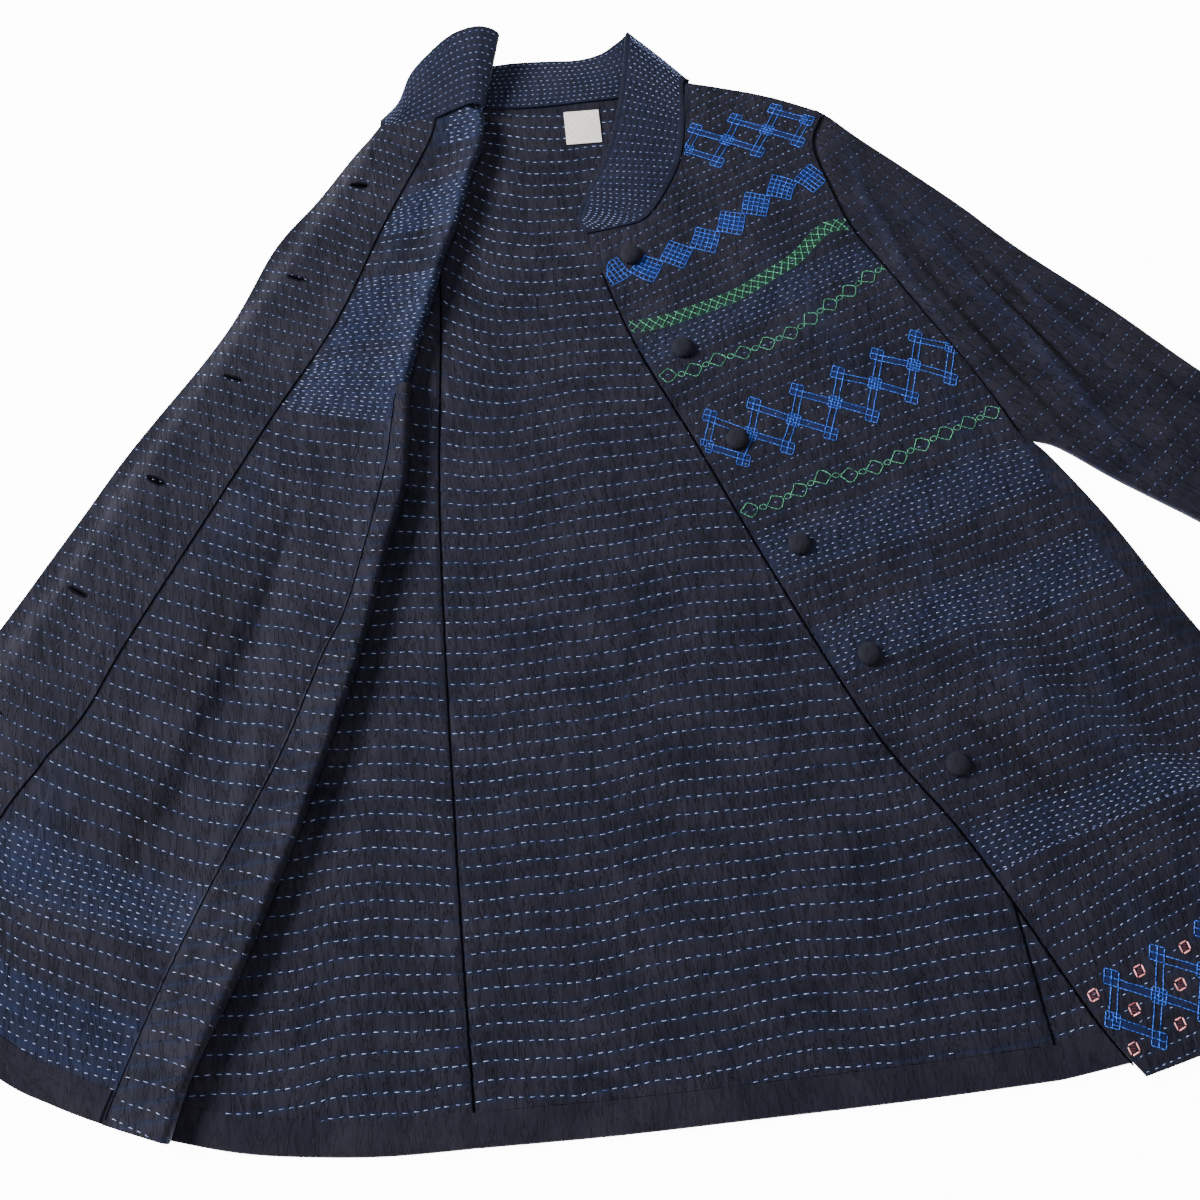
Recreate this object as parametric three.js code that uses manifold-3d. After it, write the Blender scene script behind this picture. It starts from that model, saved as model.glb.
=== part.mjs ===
// An embroidered long coat of quilted cotton, lying open on its back.
//
// Millimetres. +X is the wearer's left, +Y runs up the centre back towards the collar and Z = 0 is
// the surface that the coat lies on. The origin is on the underside of the back, at the waist.
// The seams below are measured from the hem at the centre back, and the whole coat is moved down
// by WAIST_Y at the end.
//
// Every cloth piece is a middle surface, worked out on a grid from its seams, with half its wall
// on each side. The right front is turned back with its inside up, so the cloth beside it makes a
// Z: the back runs left to a valley, back to a crest, and left again to the side seam.

import * as THREE from 'three';
import { mergeVertices } from 'three/addons/utils/BufferGeometryUtils.js';
import Module from 'manifold-3d';

const wasm = await Module();
wasm.setup();

const WAIST_Y = 430; // from the hem to the origin, along the centre back
const WALL = 1.8; // quilted cloth
const BAND_WALL = 1.0; // turned-up hem, facing and label
const LOOP_STEPS = 5; // straight steps round a fold
const SEAM_GAP = 0.5; // between pieces that are sewn together
const FLOOR_Z = WALL / 2; // middle of a layer that lies on the surface
const TOP_Z = 4.4; // middle of a layer that lies on the back and its hem
const UNDERARM_SHARE = 0.58; // how far up a panel the underarm is
const ROWS_BELOW_ARM = 11;
const ROWS_ABOVE_ARM = 6;

const CREST_Z = 15.5; // middle of the cloth at the top of the right fold
const CREST_RADIUS = 4.2;
const VALLEY_RADIUS = 1.7;
const FOLD_LAYER_Z = 7.5; // top layer over the fold's hidden layers
const FOLD_SLOPE = 28; // run over which the top layer comes down from the fold
const SLEEVE_LOOP = 3; // between the two layers of a flat sleeve
const OVER_SLEEVE = 5.4; // rise of the right front over its sleeve
const LIFT_REACH = { top: 30, under: 45, cuff: 56 }; // how far past the sleeve the rise goes
const LIFT_RUN = 20; // over which it comes down
const ROLL_RUN = 21; // over which the crest's height fades
const CHEST = { x: 165, y: 610, rise: 2.4, spread: 95 }; // swell of the left front

const BUTTON = { radius: 9.5, height: 5.6, rim: 1.6, sides: 22 };
const BUTTONHOLE = { length: 17, width: 1.6, across: 0.6, first: 75, pitch: 105, count: 6 };
const LABEL = { x: -3, y: 845, width: 32, height: 36, turn: THREE.MathUtils.degToRad(-3) };
const HEM_DEPTH = 22;
const NECK_SHARE = 0.62; // of the left front's upper edge, the rest is shoulder
const CREST_BELOW_SHARE = 0.65; // of the crest, the rest is above the underarm
const MOUTH_GAP_SHARE = 0.004; // of a sleeve's length, left open at the armhole
const EDGE_STEP = 0.01; // share of an edge, either way, that gives its direction

const COLOURS = {
  cloth: { color: 0x1a1c2a, roughness: 0.9, metalness: 0 },
  band: { color: 0x1c1e2c, roughness: 0.88, metalness: 0 },
  button: { color: 0x1d2029, roughness: 0.82, metalness: 0 },
  label: { color: 0xe6e2d6, roughness: 0.9, metalness: 0 },
};

// ---- seams and edges: [x, y], each from the hem up or from the centre out ----

const seam = (...points) => {
  const curve = new THREE.SplineCurve(points.map(([x, y]) => new THREE.Vector2(x, y)));
  return (t) => curve.getPointAt(THREE.MathUtils.clamp(t, 0, 1));
};

/** Runs along one seam for its share of the way, then along the next. */
const joined = (first, second, share) => (t) =>
  t <= share ? first(t / share) : second((t - share) / (1 - share));

const part = (curve, from, to) => (t) => curve(from + (to - from) * t);

const princessRight = seam([-195, 12], [-187, 220], [-172, 480], [-150, 684], [-138, 866]);
const princessLeft = seam([214, -4], [204, 220], [178, 480], [152, 684], [138, 866]);
const hemBack = seam([-195, 12], [-100, 6], [0, 2], [110, -2], [214, -4]);
const neckBack = seam(
  [-138, 866], [-100, 876], [-50, 872], [0, 871.5], [50, 871], [98, 876], [138, 866],
);

const hemSideLeft = seam([214, -4], [320, 6], [420, 27], [517, 66]);
const foldLeft = seam(
  [517, 66], [475, 150], [437, 235], [399, 308], [362, 395], [330, 457], [316, 478],
);
const sideSeamLeft = seam(
  [500, 59], [459, 142], [421, 227], [383, 300], [347, 388], [321, 452], [311, 481],
);
const armholeLeft = seam(
  [311, 483], [288, 545], [259, 607], [237, 655], [215, 703], [205, 751], [200, 794], [216, 827],
);
const shoulderBackLeft = seam([138, 866], [178, 847], [216, 827]);

const frontEdgeLeft = seam(
  [270, -10], [245, 35], [190, 163], [138, 257], [89, 387],
  [46, 513], [10, 615], [-10, 700], [-17, 728],
);
const hemFrontLeft = seam([270, -10], [340, 4], [420, 28], [500, 59]);
const neckFrontLeft = seam(
  [-17, 728], [16, 731], [39, 737], [60, 761], [80, 795], [91, 836], [97, 879],
);
const shoulderFrontLeft = seam([97, 879], [163, 855], [216, 827]);

const hemSideRight = seam([-195, 12], [-257, 16], [-313, 24], [-360, 34], [-418, 53]);
const valley = seam([-418, 53], [-372, 165], [-325, 280], [-278, 440], [-258, 600]);
const armholeRight = seam(
  [-264, 606], [-240, 648], [-217, 698], [-203, 745], [-194, 790], [-195, 822],
);
const shoulderBackRight = seam([-138, 866], [-165, 848], [-195, 822]);
const crestBelowArm = seam(
  [-400, 46], [-382, 89], [-346, 151], [-303, 236], [-278, 292],
  [-244, 371], [-215, 457], [-195, 513], [-185, 588],
);
const crestAboveArm = seam(
  [-182, 600], [-168, 640], [-150, 688], [-137, 723], [-120, 762],
  [-108, 799], [-95, 828], [-90, 851], [-89, 868],
);
const sideSeamRight = seam(
  [-447, 64], [-406, 146], [-363, 218], [-310, 302], [-273, 375], [-249, 417], [-212, 522], [-197, 588],
);
const rollAboveArm = seam(
  [-190, 600], [-176, 640], [-158, 688], [-145, 723], [-128, 762],
  [-115, 799], [-102, 828], [-97, 851], [-96, 868],
);
const facingSeam = seam(
  [-588, 166], [-519, 289], [-459, 352], [-423, 409], [-339, 531],
  [-294, 596], [-239, 672], [-192, 761], [-146, 840], [-134, 872],
);
const frontEdgeRight = seam(
  [-656, 236], [-590, 346], [-522, 435], [-460, 518], [-415, 579],
  [-336, 674], [-288, 755], [-245, 802], [-210, 844], [-185, 868],
);
const hemFrontRight = seam([-447, 64], [-482, 82], [-519, 105], [-588, 166]);
const hemFacing = seam([-588, 166], [-624, 199], [-656, 236]);
const neckFrontRight = seam([-96, 868], [-109, 877], [-134, 872]);
const neckFacing = seam([-134, 872], [-161, 868], [-185, 868]);

// The two edges of each flat sleeve, from the armhole to the cuff.
const SLEEVES = {
  left: {
    top: seam(
      [219, 825], [243, 793], [272, 760], [315, 710], [354, 660], [414, 593], [475, 519], [560, 423],
    ),
    under: seam([316, 484], [343, 468], [382, 433], [436, 389], [476, 352]),
    mouth: part(armholeLeft, 1, 0),
    puff: 2.6,
  },
  right: {
    top: seam([-197, 820], [-300, 676], [-402, 535], [-505, 392]),
    under: seam([-271, 601], [-332, 522], [-380, 425], [-414, 326]),
    mouth: part(armholeRight, 1, 0),
    puff: 0.25,
  },
};

// The collar is one band. Each station has a point on its neck seam and one on its free edge.
const COLLAR = [
  { neck: [-187, 870, 3.5], free: [-184, 876, 3.5] }, // right end
  { neck: [-172, 870, 5.5], free: [-166, 891, 8] },
  { neck: [-158, 870, 7.5], free: [-153, 916, 14] },
  { neck: [-138, 874, 9.5], free: [-135, 932, 19] },
  { neck: [-116, 879, 12], free: [-110, 948, 24] },
  { neck: [-98, 876, 15], free: [-84, 951, 27] },
  { neck: [-89, 872, 12], free: [-67, 945, 22] }, // crest of the fold
  { neck: [-99, 876, 8], free: [-77, 940, 16] },
  { neck: [-118, 883, 4.6], free: [-96, 934, 10] }, // valley of the fold
  { neck: [-116, 883, 1.6], free: [-94, 928, 5] },
  { neck: [-98, 880, 1.35], free: [-82, 926, 3] },
  { neck: [-62, 875, 1.35], free: [-55, 926, 3] },
  { neck: [-28, 873, 1.35], free: [-24, 923, 3.5] },
  { neck: [6, 872.8, 1.35], free: [2, 920, 4] },
  { neck: [44, 872.8, 1.35], free: [24, 922, 6] },
  { neck: [80, 877, 1.35], free: [39, 929, 8.5] },
  { neck: [96, 881, 1.5], free: [48, 934.5, 10] },
  { neck: [101, 883, 3], free: [52.5, 938, 12] }, // fold at the left of the neck
  { neck: [96, 881, 4.6], free: [49.5, 932, 13.5] },
  { neck: [93, 861, 4.5], free: [42, 898, 11] },
  { neck: [89.4, 836.5, 4.4], free: [31, 858, 8] },
  { neck: [78.4, 796, 4.4], free: [12, 808, 6] },
  { neck: [58.6, 762.4, 4.4], free: [-8, 776, 5] },
  { neck: [38, 738.6, 4.4], free: [-18, 757, 4.4] },
  { neck: [15.8, 732.6, 4.4], free: [-21, 745, 4.4] },
  { neck: [-16, 729.6, 4.4], free: [-20, 736, 4.4] }, // left end
];

// Depth of the right fold, from crest to valley, up the coat.
const FOLD_DEPTHS = [
  { y: 0, depth: 24 },
  { y: 280, depth: 50 },
  { y: 440, depth: 68 },
  { y: 520, depth: 82 },
  { y: 600, depth: 84 },
  { y: 870, depth: 90 },
];

const BUTTON_PLACES = [
  { x: 19, y: 701 },
  { x: 48, y: 603 },
  { x: 78, y: 512 },
  { x: 111, y: 414 },
  { x: 146, y: 316 },
  { x: 193, y: 222 },
];

// ---- heights of the layers that lie on others ----

const smooth = (t) => {
  const c = THREE.MathUtils.clamp(t, 0, 1);
  return c * c * (3 - 2 * c);
};

/** The left front swells a little over the chest. */
const leftTopZ = (p) => {
  const fromChest = Math.hypot(p.x - CHEST.x, p.y - CHEST.y) / CHEST.spread;
  return TOP_Z + CHEST.rise * Math.exp(-(fromChest ** 2) / 2);
};

const wholeCrest = joined(crestBelowArm, crestAboveArm, CREST_BELOW_SHARE);
const CREST_LOOKUP = Array.from({ length: 81 }, (_, i) => wholeCrest(i / 80));

const crestX = (y) => {
  const next = CREST_LOOKUP.findIndex((p) => p.y > y);
  if (next === 0) return CREST_LOOKUP[0].x;
  if (next < 0) return CREST_LOOKUP.at(-1).x;
  const [a, b] = [CREST_LOOKUP[next - 1], CREST_LOOKUP[next]];
  return THREE.MathUtils.lerp(a.x, b.x, (y - a.y) / (b.y - a.y));
};

const foldDepth = (y) => {
  const next = Math.max(1, FOLD_DEPTHS.findIndex((row) => row.y > y));
  const [a, b] = [FOLD_DEPTHS[next - 1], FOLD_DEPTHS[next]];
  return THREE.MathUtils.lerp(a.depth, b.depth, THREE.MathUtils.clamp((y - a.y) / (b.y - a.y), 0, 1));
};

/** Signed distance of a point from a line through two points, positive on its right. */
const beside = (p, from, to) =>
  ((p.y - from.y) * (from.x - to.x) + (p.x - from.x) * (to.y - from.y)) / from.distanceTo(to);

const CUFF_TOP = SLEEVES.right.top(1);
const CUFF_UNDER = SLEEVES.right.under(1);
const SHOULDER_TIP = SLEEVES.right.top(0);
const UNDERARM = SLEEVES.right.under(0);

/** How far the hidden sleeve lifts the right front, from 0 to 1. */
const sleeveLift = (p) =>
  smooth((beside(p, CUFF_TOP, SHOULDER_TIP) + LIFT_REACH.top) / LIFT_RUN) *
  smooth((beside(p, UNDERARM, CUFF_UNDER) + LIFT_REACH.under) / LIFT_RUN) *
  smooth((beside(p, CUFF_UNDER, CUFF_TOP) + LIFT_REACH.cuff) / LIFT_RUN);

/** The right front comes down from the crest, over the fold and the sleeve, to the surface. */
const rightTopZ = (p) => {
  const fromCrest = crestX(p.y) - p.x;
  const pastFold = smooth((fromCrest - foldDepth(p.y)) / FOLD_SLOPE);
  const overFold = (FOLD_LAYER_Z - FLOOR_Z) * (1 - pastFold);
  const roll = (CREST_Z - FOLD_LAYER_Z) * Math.exp(-((Math.max(fromCrest, 0) / ROLL_RUN) ** 2));
  return FLOOR_Z + Math.max(overFold, OVER_SLEEVE * sleeveLift(p)) + roll;
};

// ---- cloth walls ----

/** A surface between four seams: the two ruled surfaces added, less the one through the corners. */
const between = (bottom, top, left, right) => (u, v) => {
  const across = bottom(u).lerp(top(u), v);
  const up = left(v).lerp(right(v), u);
  const corners = bottom(0).lerp(bottom(1), u).lerp(top(0).lerp(top(1), u), v);
  return across.add(up).sub(corners);
};

const at = (p, z) => new THREE.Vector3(p.x, p.y, z);
const steps = (count) => Array.from({ length: count + 1 }, (_, i) => i / count);

/** Heights up a panel, with a row exactly at the underarm. */
const panelRows = [
  ...steps(ROWS_BELOW_ARM).map((t) => t * UNDERARM_SHARE),
  ...steps(ROWS_ABOVE_ARM).slice(1).map((t) => UNDERARM_SHARE + t * (1 - UNDERARM_SHARE)),
];

/** Half a turn of cloth, from below to above or back, bulging along a direction. */
function turn(from, to, outward, radius) {
  return steps(LOOP_STEPS).slice(1, -1).map((t) => {
    const angle = Math.PI * t;
    const point = from.clone().lerp(to, (1 - Math.cos(angle)) / 2);
    return point.addScaledVector(outward, radius * Math.sin(angle));
  });
}

/** Moves the rim of a grid in by half a seam gap, so that sewn pieces stay apart. */
function pullIn(grid) {
  const move = (p, inner) => p.add(inner.clone().sub(p).setLength(SEAM_GAP / 2));
  const last = grid.length - 1;
  for (const row of grid) {
    move(row[0], row[1]);
    move(row.at(-1), row.at(-2));
  }
  grid[0].forEach((p, j) => move(p, grid[1][j]));
  grid[last].forEach((p, j) => move(p, grid[last - 1][j]));
  return grid;
}

/** Faces of a grid as corner numbers, four to a cell. keep says which cells are cloth. */
function cellsOf(grid, keep, closed) {
  const width = grid[0].length;
  const cells = [];
  for (let i = 0; i + 1 < grid.length; i++) {
    for (let j = 0; j < (closed ? width : width - 1); j++) {
      const next = (j + 1) % width;
      const [here, above] = [i * width, (i + 1) * width];
      if (keep(i, j)) cells.push([here + j, here + next, above + next, above + j]);
    }
  }
  return cells;
}

/** A closed wall round a middle surface: both sides, and a rim on every edge that one cell uses. */
function wallGeometry(grid, wall, { keep = () => true, closed = false } = {}) {
  const points = grid.flat();
  const cells = cellsOf(grid, keep, closed);
  const normals = points.map(() => new THREE.Vector3());
  for (const [a, b, c, d] of cells) {
    const diagonal = points[c].clone().sub(points[a]);
    const face = diagonal.cross(points[d].clone().sub(points[b]));
    for (const corner of [a, b, c, d]) normals[corner].add(face);
  }
  const used = new Map();
  const above = [];
  const below = [];
  for (const corner of new Set(cells.flat())) {
    const half = normals[corner].normalize().multiplyScalar(wall / 2);
    used.set(corner, above.length);
    above.push(points[corner].clone().add(half));
    below.push(points[corner].clone().sub(half));
  }
  const count = above.length;
  const faces = [];
  const rim = new Map();
  for (const cell of cells) {
    const [a, b, c, d] = cell.map((corner) => used.get(corner));
    faces.push([a, b, c], [a, c, d]);
    faces.push([c + count, b + count, a + count], [d + count, c + count, a + count]);
    for (const [from, to] of [[a, b], [b, c], [c, d], [d, a]]) {
      if (!rim.delete(`${to},${from}`)) rim.set(`${from},${to}`, [from, to]);
    }
  }
  for (const [from, to] of rim.values()) {
    faces.push([from, from + count, to + count], [from, to + count, to]);
  }
  const geometry = new THREE.BufferGeometry();
  geometry.setAttribute('position', new THREE.Float32BufferAttribute(
    [...above, ...below].flatMap((p) => p.toArray()), 3));
  geometry.setIndex(faces.flat());
  return geometry;
}

const coat = new THREE.Group();
coat.position.y = -WAIST_Y;

function addPiece(name, geometry, colours) {
  const piece = new THREE.Mesh(geometry, new THREE.MeshStandardMaterial(colours));
  piece.name = name;
  coat.add(piece);
  return piece;
}

// ---- back ----

function buildBackCentre() {
  const surface = between(hemBack, neckBack, princessRight, princessLeft);
  const grid = panelRows.map((v) => steps(7).map((u) => at(surface(u, v), FLOOR_Z)));
  addPiece('back_center', wallGeometry(pullIn(grid), WALL), COLOURS.cloth);
}

/** Lies under the left front, turns up at the side and ends in a strip on top, at the side seam. */
function buildBackSideLeft() {
  const outline = joined(foldLeft, armholeLeft, UNDERARM_SHARE);
  const surface = between(hemSideLeft, shoulderBackLeft, princessLeft, outline);
  const flat = 6;
  const grid = panelRows.map((v) => {
    const row = steps(flat).map((u) => at(surface(u, v), FLOOR_Z));
    const side = Math.min(v / UNDERARM_SHARE, 1);
    const end = sideSeamLeft(side);
    const edge = foldLeft(side);
    const top = at(edge, leftTopZ(edge));
    const outward = at(edge, 0).sub(at(end, 0)).normalize();
    const bend = turn(at(edge, FLOOR_Z), top, outward, (TOP_Z - FLOOR_Z) / 2);
    return [...row, ...bend, top, at(end, leftTopZ(end))];
  });
  const keep = (i, j) => j < flat || i < ROWS_BELOW_ARM;
  addPiece('back_side_left', wallGeometry(pullIn(grid), WALL, { keep }), COLOURS.cloth);
}

/** Runs left to the valley, back to the crest and left again to the side seam. */
function buildBackSideRight() {
  const outline = joined(valley, armholeRight, UNDERARM_SHARE);
  const surface = between(hemSideRight, shoulderBackRight, princessRight, outline);
  const flat = 6;
  const grid = panelRows.map((v) => {
    const row = steps(flat).map((u) => at(surface(u, v), FLOOR_Z));
    const side = Math.min(v / UNDERARM_SHARE, 1);
    const [low, crest, end] = [valley(side), crestBelowArm(side), sideSeamRight(side)];
    const left = at(low, 0).sub(at(crest, 0)).normalize();
    const crestTop = at(crest, CREST_Z).addScaledVector(left, CREST_RADIUS);
    const crestFoot = crestTop.clone().setZ(CREST_Z - 2 * CREST_RADIUS);
    const valleyTop = at(low, FLOOR_Z + 2 * VALLEY_RADIUS);
    const right = left.clone().negate();
    const middle = crestTop.clone().lerp(at(end, 0), 0.5);
    return [
      ...row,
      ...turn(at(low, FLOOR_Z), valleyTop, left, VALLEY_RADIUS),
      valleyTop,
      valleyTop.clone().lerp(crestFoot, 0.5),
      crestFoot,
      ...turn(crestFoot, crestTop, right, CREST_RADIUS),
      crestTop,
      at(middle, rightTopZ(middle)),
      at(end, rightTopZ(end)),
    ];
  });
  const keep = (i, j) => j < flat || i < ROWS_BELOW_ARM;
  addPiece('back_side_right', wallGeometry(pullIn(grid), WALL, { keep }), COLOURS.cloth);
}

// ---- fronts ----

function buildFrontLeft() {
  const surface = between(
    hemFrontLeft,
    joined(neckFrontLeft, shoulderFrontLeft, NECK_SHARE),
    frontEdgeLeft,
    joined(sideSeamLeft, armholeLeft, UNDERARM_SHARE),
  );
  const grid = panelRows.map((v) => steps(13).map((u) => {
    const p = surface(u, v);
    return at(p, leftTopZ(p));
  }));
  addPiece('front_left', wallGeometry(pullIn(grid), WALL), COLOURS.cloth);
}

const rightRoll = joined(sideSeamRight, rollAboveArm, UNDERARM_SHARE);
const frontRightSurface = between(hemFrontRight, neckFrontRight, rightRoll, facingSeam);
const facingSurface = between(hemFacing, neckFacing, facingSeam, frontEdgeRight);

/** The right front has its inside up. Above the underarm it rolls over the crest and down. */
function buildFrontRight() {
  const grid = panelRows.map((v) => {
    const up = Math.max((v - UNDERARM_SHARE) / (1 - UNDERARM_SHARE), 0);
    const roll = at(rollAboveArm(up), rightTopZ(rollAboveArm(up)));
    const foot = roll.clone().setZ(roll.z - 2 * CREST_RADIUS);
    const right = at(crestAboveArm(up), 0).sub(at(rollAboveArm(up), 0)).normalize();
    const over = turn(foot, roll, right, CREST_RADIUS);
    const inner = steps(9).map((u) => frontRightSurface(u, v));
    const outer = steps(4).slice(1).map((u) => facingSurface(u, v));
    return [foot, ...over, ...[...inner, ...outer].map((p) => at(p, rightTopZ(p)))];
  });
  const keep = (i, j) => j >= LOOP_STEPS || i >= ROWS_BELOW_ARM;
  return wallGeometry(pullIn(grid), WALL, { keep });
}

function buildFacingRight() {
  const lift = WALL / 2 + SEAM_GAP + BAND_WALL / 2;
  const grid = panelRows.map((v) => steps(4).map((u) => {
    const p = facingSurface(u, v);
    return at(p, rightTopZ(p) + lift);
  }));
  return wallGeometry(pullIn(grid), BAND_WALL);
}

/** The back's whole hem, from the right fold's valley to the left side, clear of both folds. */
const hemBackEdge = joined(
  part(hemSideRight, 0.96, 0),
  joined(hemBack, part(hemSideLeft, 0, 0.98), 0.57),
  0.25,
);

/** Turned-up hem: a band on the panel's own points, moved up to lie on it. */
function buildHem(name, edge, inward, topZ) {
  const lift = WALL / 2 + SEAM_GAP + BAND_WALL / 2;
  const grid = [0, 0.5, 1].map((t) => steps(20).map((s) => {
    const ahead = edge(Math.min(s + 0.01, 1)).sub(edge(Math.max(s - 0.01, 0))).normalize();
    const acrossBand = new THREE.Vector2(-ahead.y, ahead.x).multiplyScalar(inward);
    const p = edge(s).addScaledVector(acrossBand, 1 + t * HEM_DEPTH);
    return at(p, topZ(p) + lift);
  }));
  addPiece(name, wallGeometry(grid, BAND_WALL), COLOURS.band);
}

// ---- buttonholes, cut through the facing and the front ----

function asSolid(geometry) {
  const merged = mergeVertices(geometry);
  const mesh = new wasm.Mesh({
    numProp: 3,
    vertProperties: new Float32Array(merged.attributes.position.array),
    triVerts: new Uint32Array(merged.index.array),
  });
  return new wasm.Manifold(mesh);
}

function asGeometry(solid) {
  const mesh = solid.getMesh();
  const geometry = new THREE.BufferGeometry();
  geometry.setAttribute('position', new THREE.BufferAttribute(mesh.vertProperties, 3));
  geometry.setIndex(new THREE.BufferAttribute(mesh.triVerts, 1));
  return geometry;
}

function buttonholeCutters() {
  const edgeLength = steps(40).slice(1).reduce(
    (sum, t) => sum + frontEdgeRight(t).distanceTo(frontEdgeRight(t - 1 / 40)), 0);
  return Array.from({ length: BUTTONHOLE.count }, (_, i) => {
    const v = 1 - (BUTTONHOLE.first + i * BUTTONHOLE.pitch) / edgeLength;
    const centre = facingSurface(BUTTONHOLE.across, v);
    const across = facingSurface(BUTTONHOLE.across + 0.1, v).sub(centre);
    const box = new THREE.BoxGeometry(BUTTONHOLE.length, BUTTONHOLE.width, 20);
    box.deleteAttribute('normal');
    box.deleteAttribute('uv');
    box.rotateZ(Math.atan2(across.y, across.x));
    box.translate(centre.x, centre.y, rightTopZ(centre));
    return asSolid(box);
  });
}

function addWithButtonholes(name, geometry, colours, cutters) {
  const cut = cutters.reduce((solid, cutter) => solid.subtract(cutter), asSolid(geometry));
  addPiece(name, asGeometry(cut), colours);
}

// ---- sleeves: flat tubes, open at both ends ----

/** Level direction square to one edge of a sleeve, away from its other edge. */
function awayFrom(other, edge, share) {
  const run = edge(share + EDGE_STEP).sub(edge(share - EDGE_STEP));
  const side = new THREE.Vector3(run.y, -run.x, 0).normalize();
  const across = at(edge(share).sub(other(share)), 0);
  return side.dot(across) < 0 ? side.negate() : side;
}

function buildSleeve(name, { top, under, mouth, puff }, upperZ) {
  const cuff = (t) => top(1).lerp(under(1), t);
  const surface = between(mouth, cuff, top, under);
  const across = ROWS_ABOVE_ARM; // so that the mouth has the armhole's own points
  const grid = steps(11).map((a) => {
    const from = THREE.MathUtils.lerp(MOUTH_GAP_SHARE, 1, a);
    const points = steps(across).map((b) => surface(b, from));
    const upper = points.map((p, k) => {
      const dome = puff * Math.sin(Math.PI * k / across) * smooth(a * 3);
      return at(p, upperZ(p, a) + dome);
    });
    const lower = points.map((p) => at(p, FLOOR_Z));
    return [
      ...lower,
      ...turn(lower.at(-1), upper.at(-1), awayFrom(top, under, from), SLEEVE_LOOP / 2),
      ...upper.toReversed(),
      ...turn(upper[0], lower[0], awayFrom(under, top, from), SLEEVE_LOOP / 2),
    ];
  });
  addPiece(name, wallGeometry(grid, WALL, { closed: true }), COLOURS.cloth);
}

const fromFrontToCuff = (p, along) => THREE.MathUtils.lerp(leftTopZ(p), TOP_Z, smooth(along * 4));

// ---- collar ----

function buildCollar() {
  const edge = (side) => new THREE.CatmullRomCurve3(
    COLLAR.map((station) => new THREE.Vector3(...station[side])), false, 'centripetal');
  const [neck, free] = [edge('neck'), edge('free')];
  const grid = steps((COLLAR.length - 1) * 2).map((t) => {
    const [low, high] = [neck.getPoint(t), free.getPoint(t)];
    return steps(4).map((s) => low.clone().lerp(high, s));
  });
  addPiece('collar', wallGeometry(grid, WALL), COLOURS.cloth);
}

// ---- buttons and label ----

function buttonGeometry() {
  const { radius, height, rim, sides } = BUTTON;
  const dome = steps(6).map((t) => {
    const angle = t * Math.PI / 2;
    return new THREE.Vector2(radius * Math.cos(angle), rim + (height - rim) * Math.sin(angle));
  });
  dome.at(-1).x = 0;
  const profile = [new THREE.Vector2(0, 0), new THREE.Vector2(radius - 1.2, 0), ...dome];
  return new THREE.LatheGeometry(profile, sides).rotateX(Math.PI / 2);
}

function buildButtons() {
  BUTTON_PLACES.forEach(({ x, y }, i) => {
    const button = addPiece(`button_${i + 1}`, buttonGeometry(), COLOURS.button);
    button.position.set(x, y, leftTopZ({ x, y }) + WALL / 2 + SEAM_GAP);
  });
}

function buildLabel() {
  const label = addPiece(
    'label', new THREE.BoxGeometry(LABEL.width, LABEL.height, BAND_WALL), COLOURS.label);
  label.position.set(LABEL.x, LABEL.y, WALL + SEAM_GAP + BAND_WALL / 2);
  label.rotation.z = LABEL.turn;
}

buildBackCentre();
buildBackSideLeft();
buildBackSideRight();
buildFrontLeft();
const cutters = buttonholeCutters();
addWithButtonholes('front_right', buildFrontRight(), COLOURS.cloth, cutters);
addWithButtonholes('facing_right', buildFacingRight(), COLOURS.band, cutters);
buildSleeve('sleeve_left', SLEEVES.left, fromFrontToCuff);
buildSleeve('sleeve_right', SLEEVES.right, () => FLOOR_Z + SLEEVE_LOOP);
buildCollar();
buildHem('hem_back', hemBackEdge, 1, () => FLOOR_Z);
buildHem('hem_front_right', part(hemFrontRight, 0.02, 0.98), -1, rightTopZ);
buildButtons();
buildLabel();

export default coat;
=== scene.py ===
"""An embroidered long coat of quilted cotton, lying open on its back.

The tables below are in millimetres, measured from the hem at the centre back: x to the wearer's
left, y up the centre back and z off the surface that the coat lies on. Meshes are in metres, with
their origin at the waist, as the frame has it.
"""

import math

import bpy
import numpy as np
from bpy.props import FloatProperty, FloatVectorProperty, PointerProperty
from mathutils import Matrix


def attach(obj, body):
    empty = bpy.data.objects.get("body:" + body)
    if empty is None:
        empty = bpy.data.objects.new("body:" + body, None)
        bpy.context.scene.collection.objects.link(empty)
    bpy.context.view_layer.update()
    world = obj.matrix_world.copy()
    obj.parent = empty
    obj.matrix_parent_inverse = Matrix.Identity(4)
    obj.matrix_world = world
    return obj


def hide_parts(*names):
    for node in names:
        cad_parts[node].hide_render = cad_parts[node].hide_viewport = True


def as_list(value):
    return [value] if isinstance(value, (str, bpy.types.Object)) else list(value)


bl_info = {
    "name": "Embroidered long coat",
    "version": (1, 0, 0),
    "blender": (4, 5, 0),
    "location": "3D View > Sidebar > Coat",
    "description": "Builds a quilted and embroidered long coat that lies open on its back",
    "category": "Add Mesh",
}

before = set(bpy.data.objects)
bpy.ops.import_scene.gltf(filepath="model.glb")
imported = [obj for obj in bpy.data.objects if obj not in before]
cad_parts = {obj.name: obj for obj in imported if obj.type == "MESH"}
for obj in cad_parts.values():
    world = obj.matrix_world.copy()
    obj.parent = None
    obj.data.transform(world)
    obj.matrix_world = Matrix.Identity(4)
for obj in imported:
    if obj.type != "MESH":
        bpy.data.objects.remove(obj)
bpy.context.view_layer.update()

WAIST_Y = 430
WALL = 1.8
BAND_WALL = 1.0
FLOOR_Z = 1.3
TOP_Z = 4.4
UNDERARM = 0.58
GRID = 4.6

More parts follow.
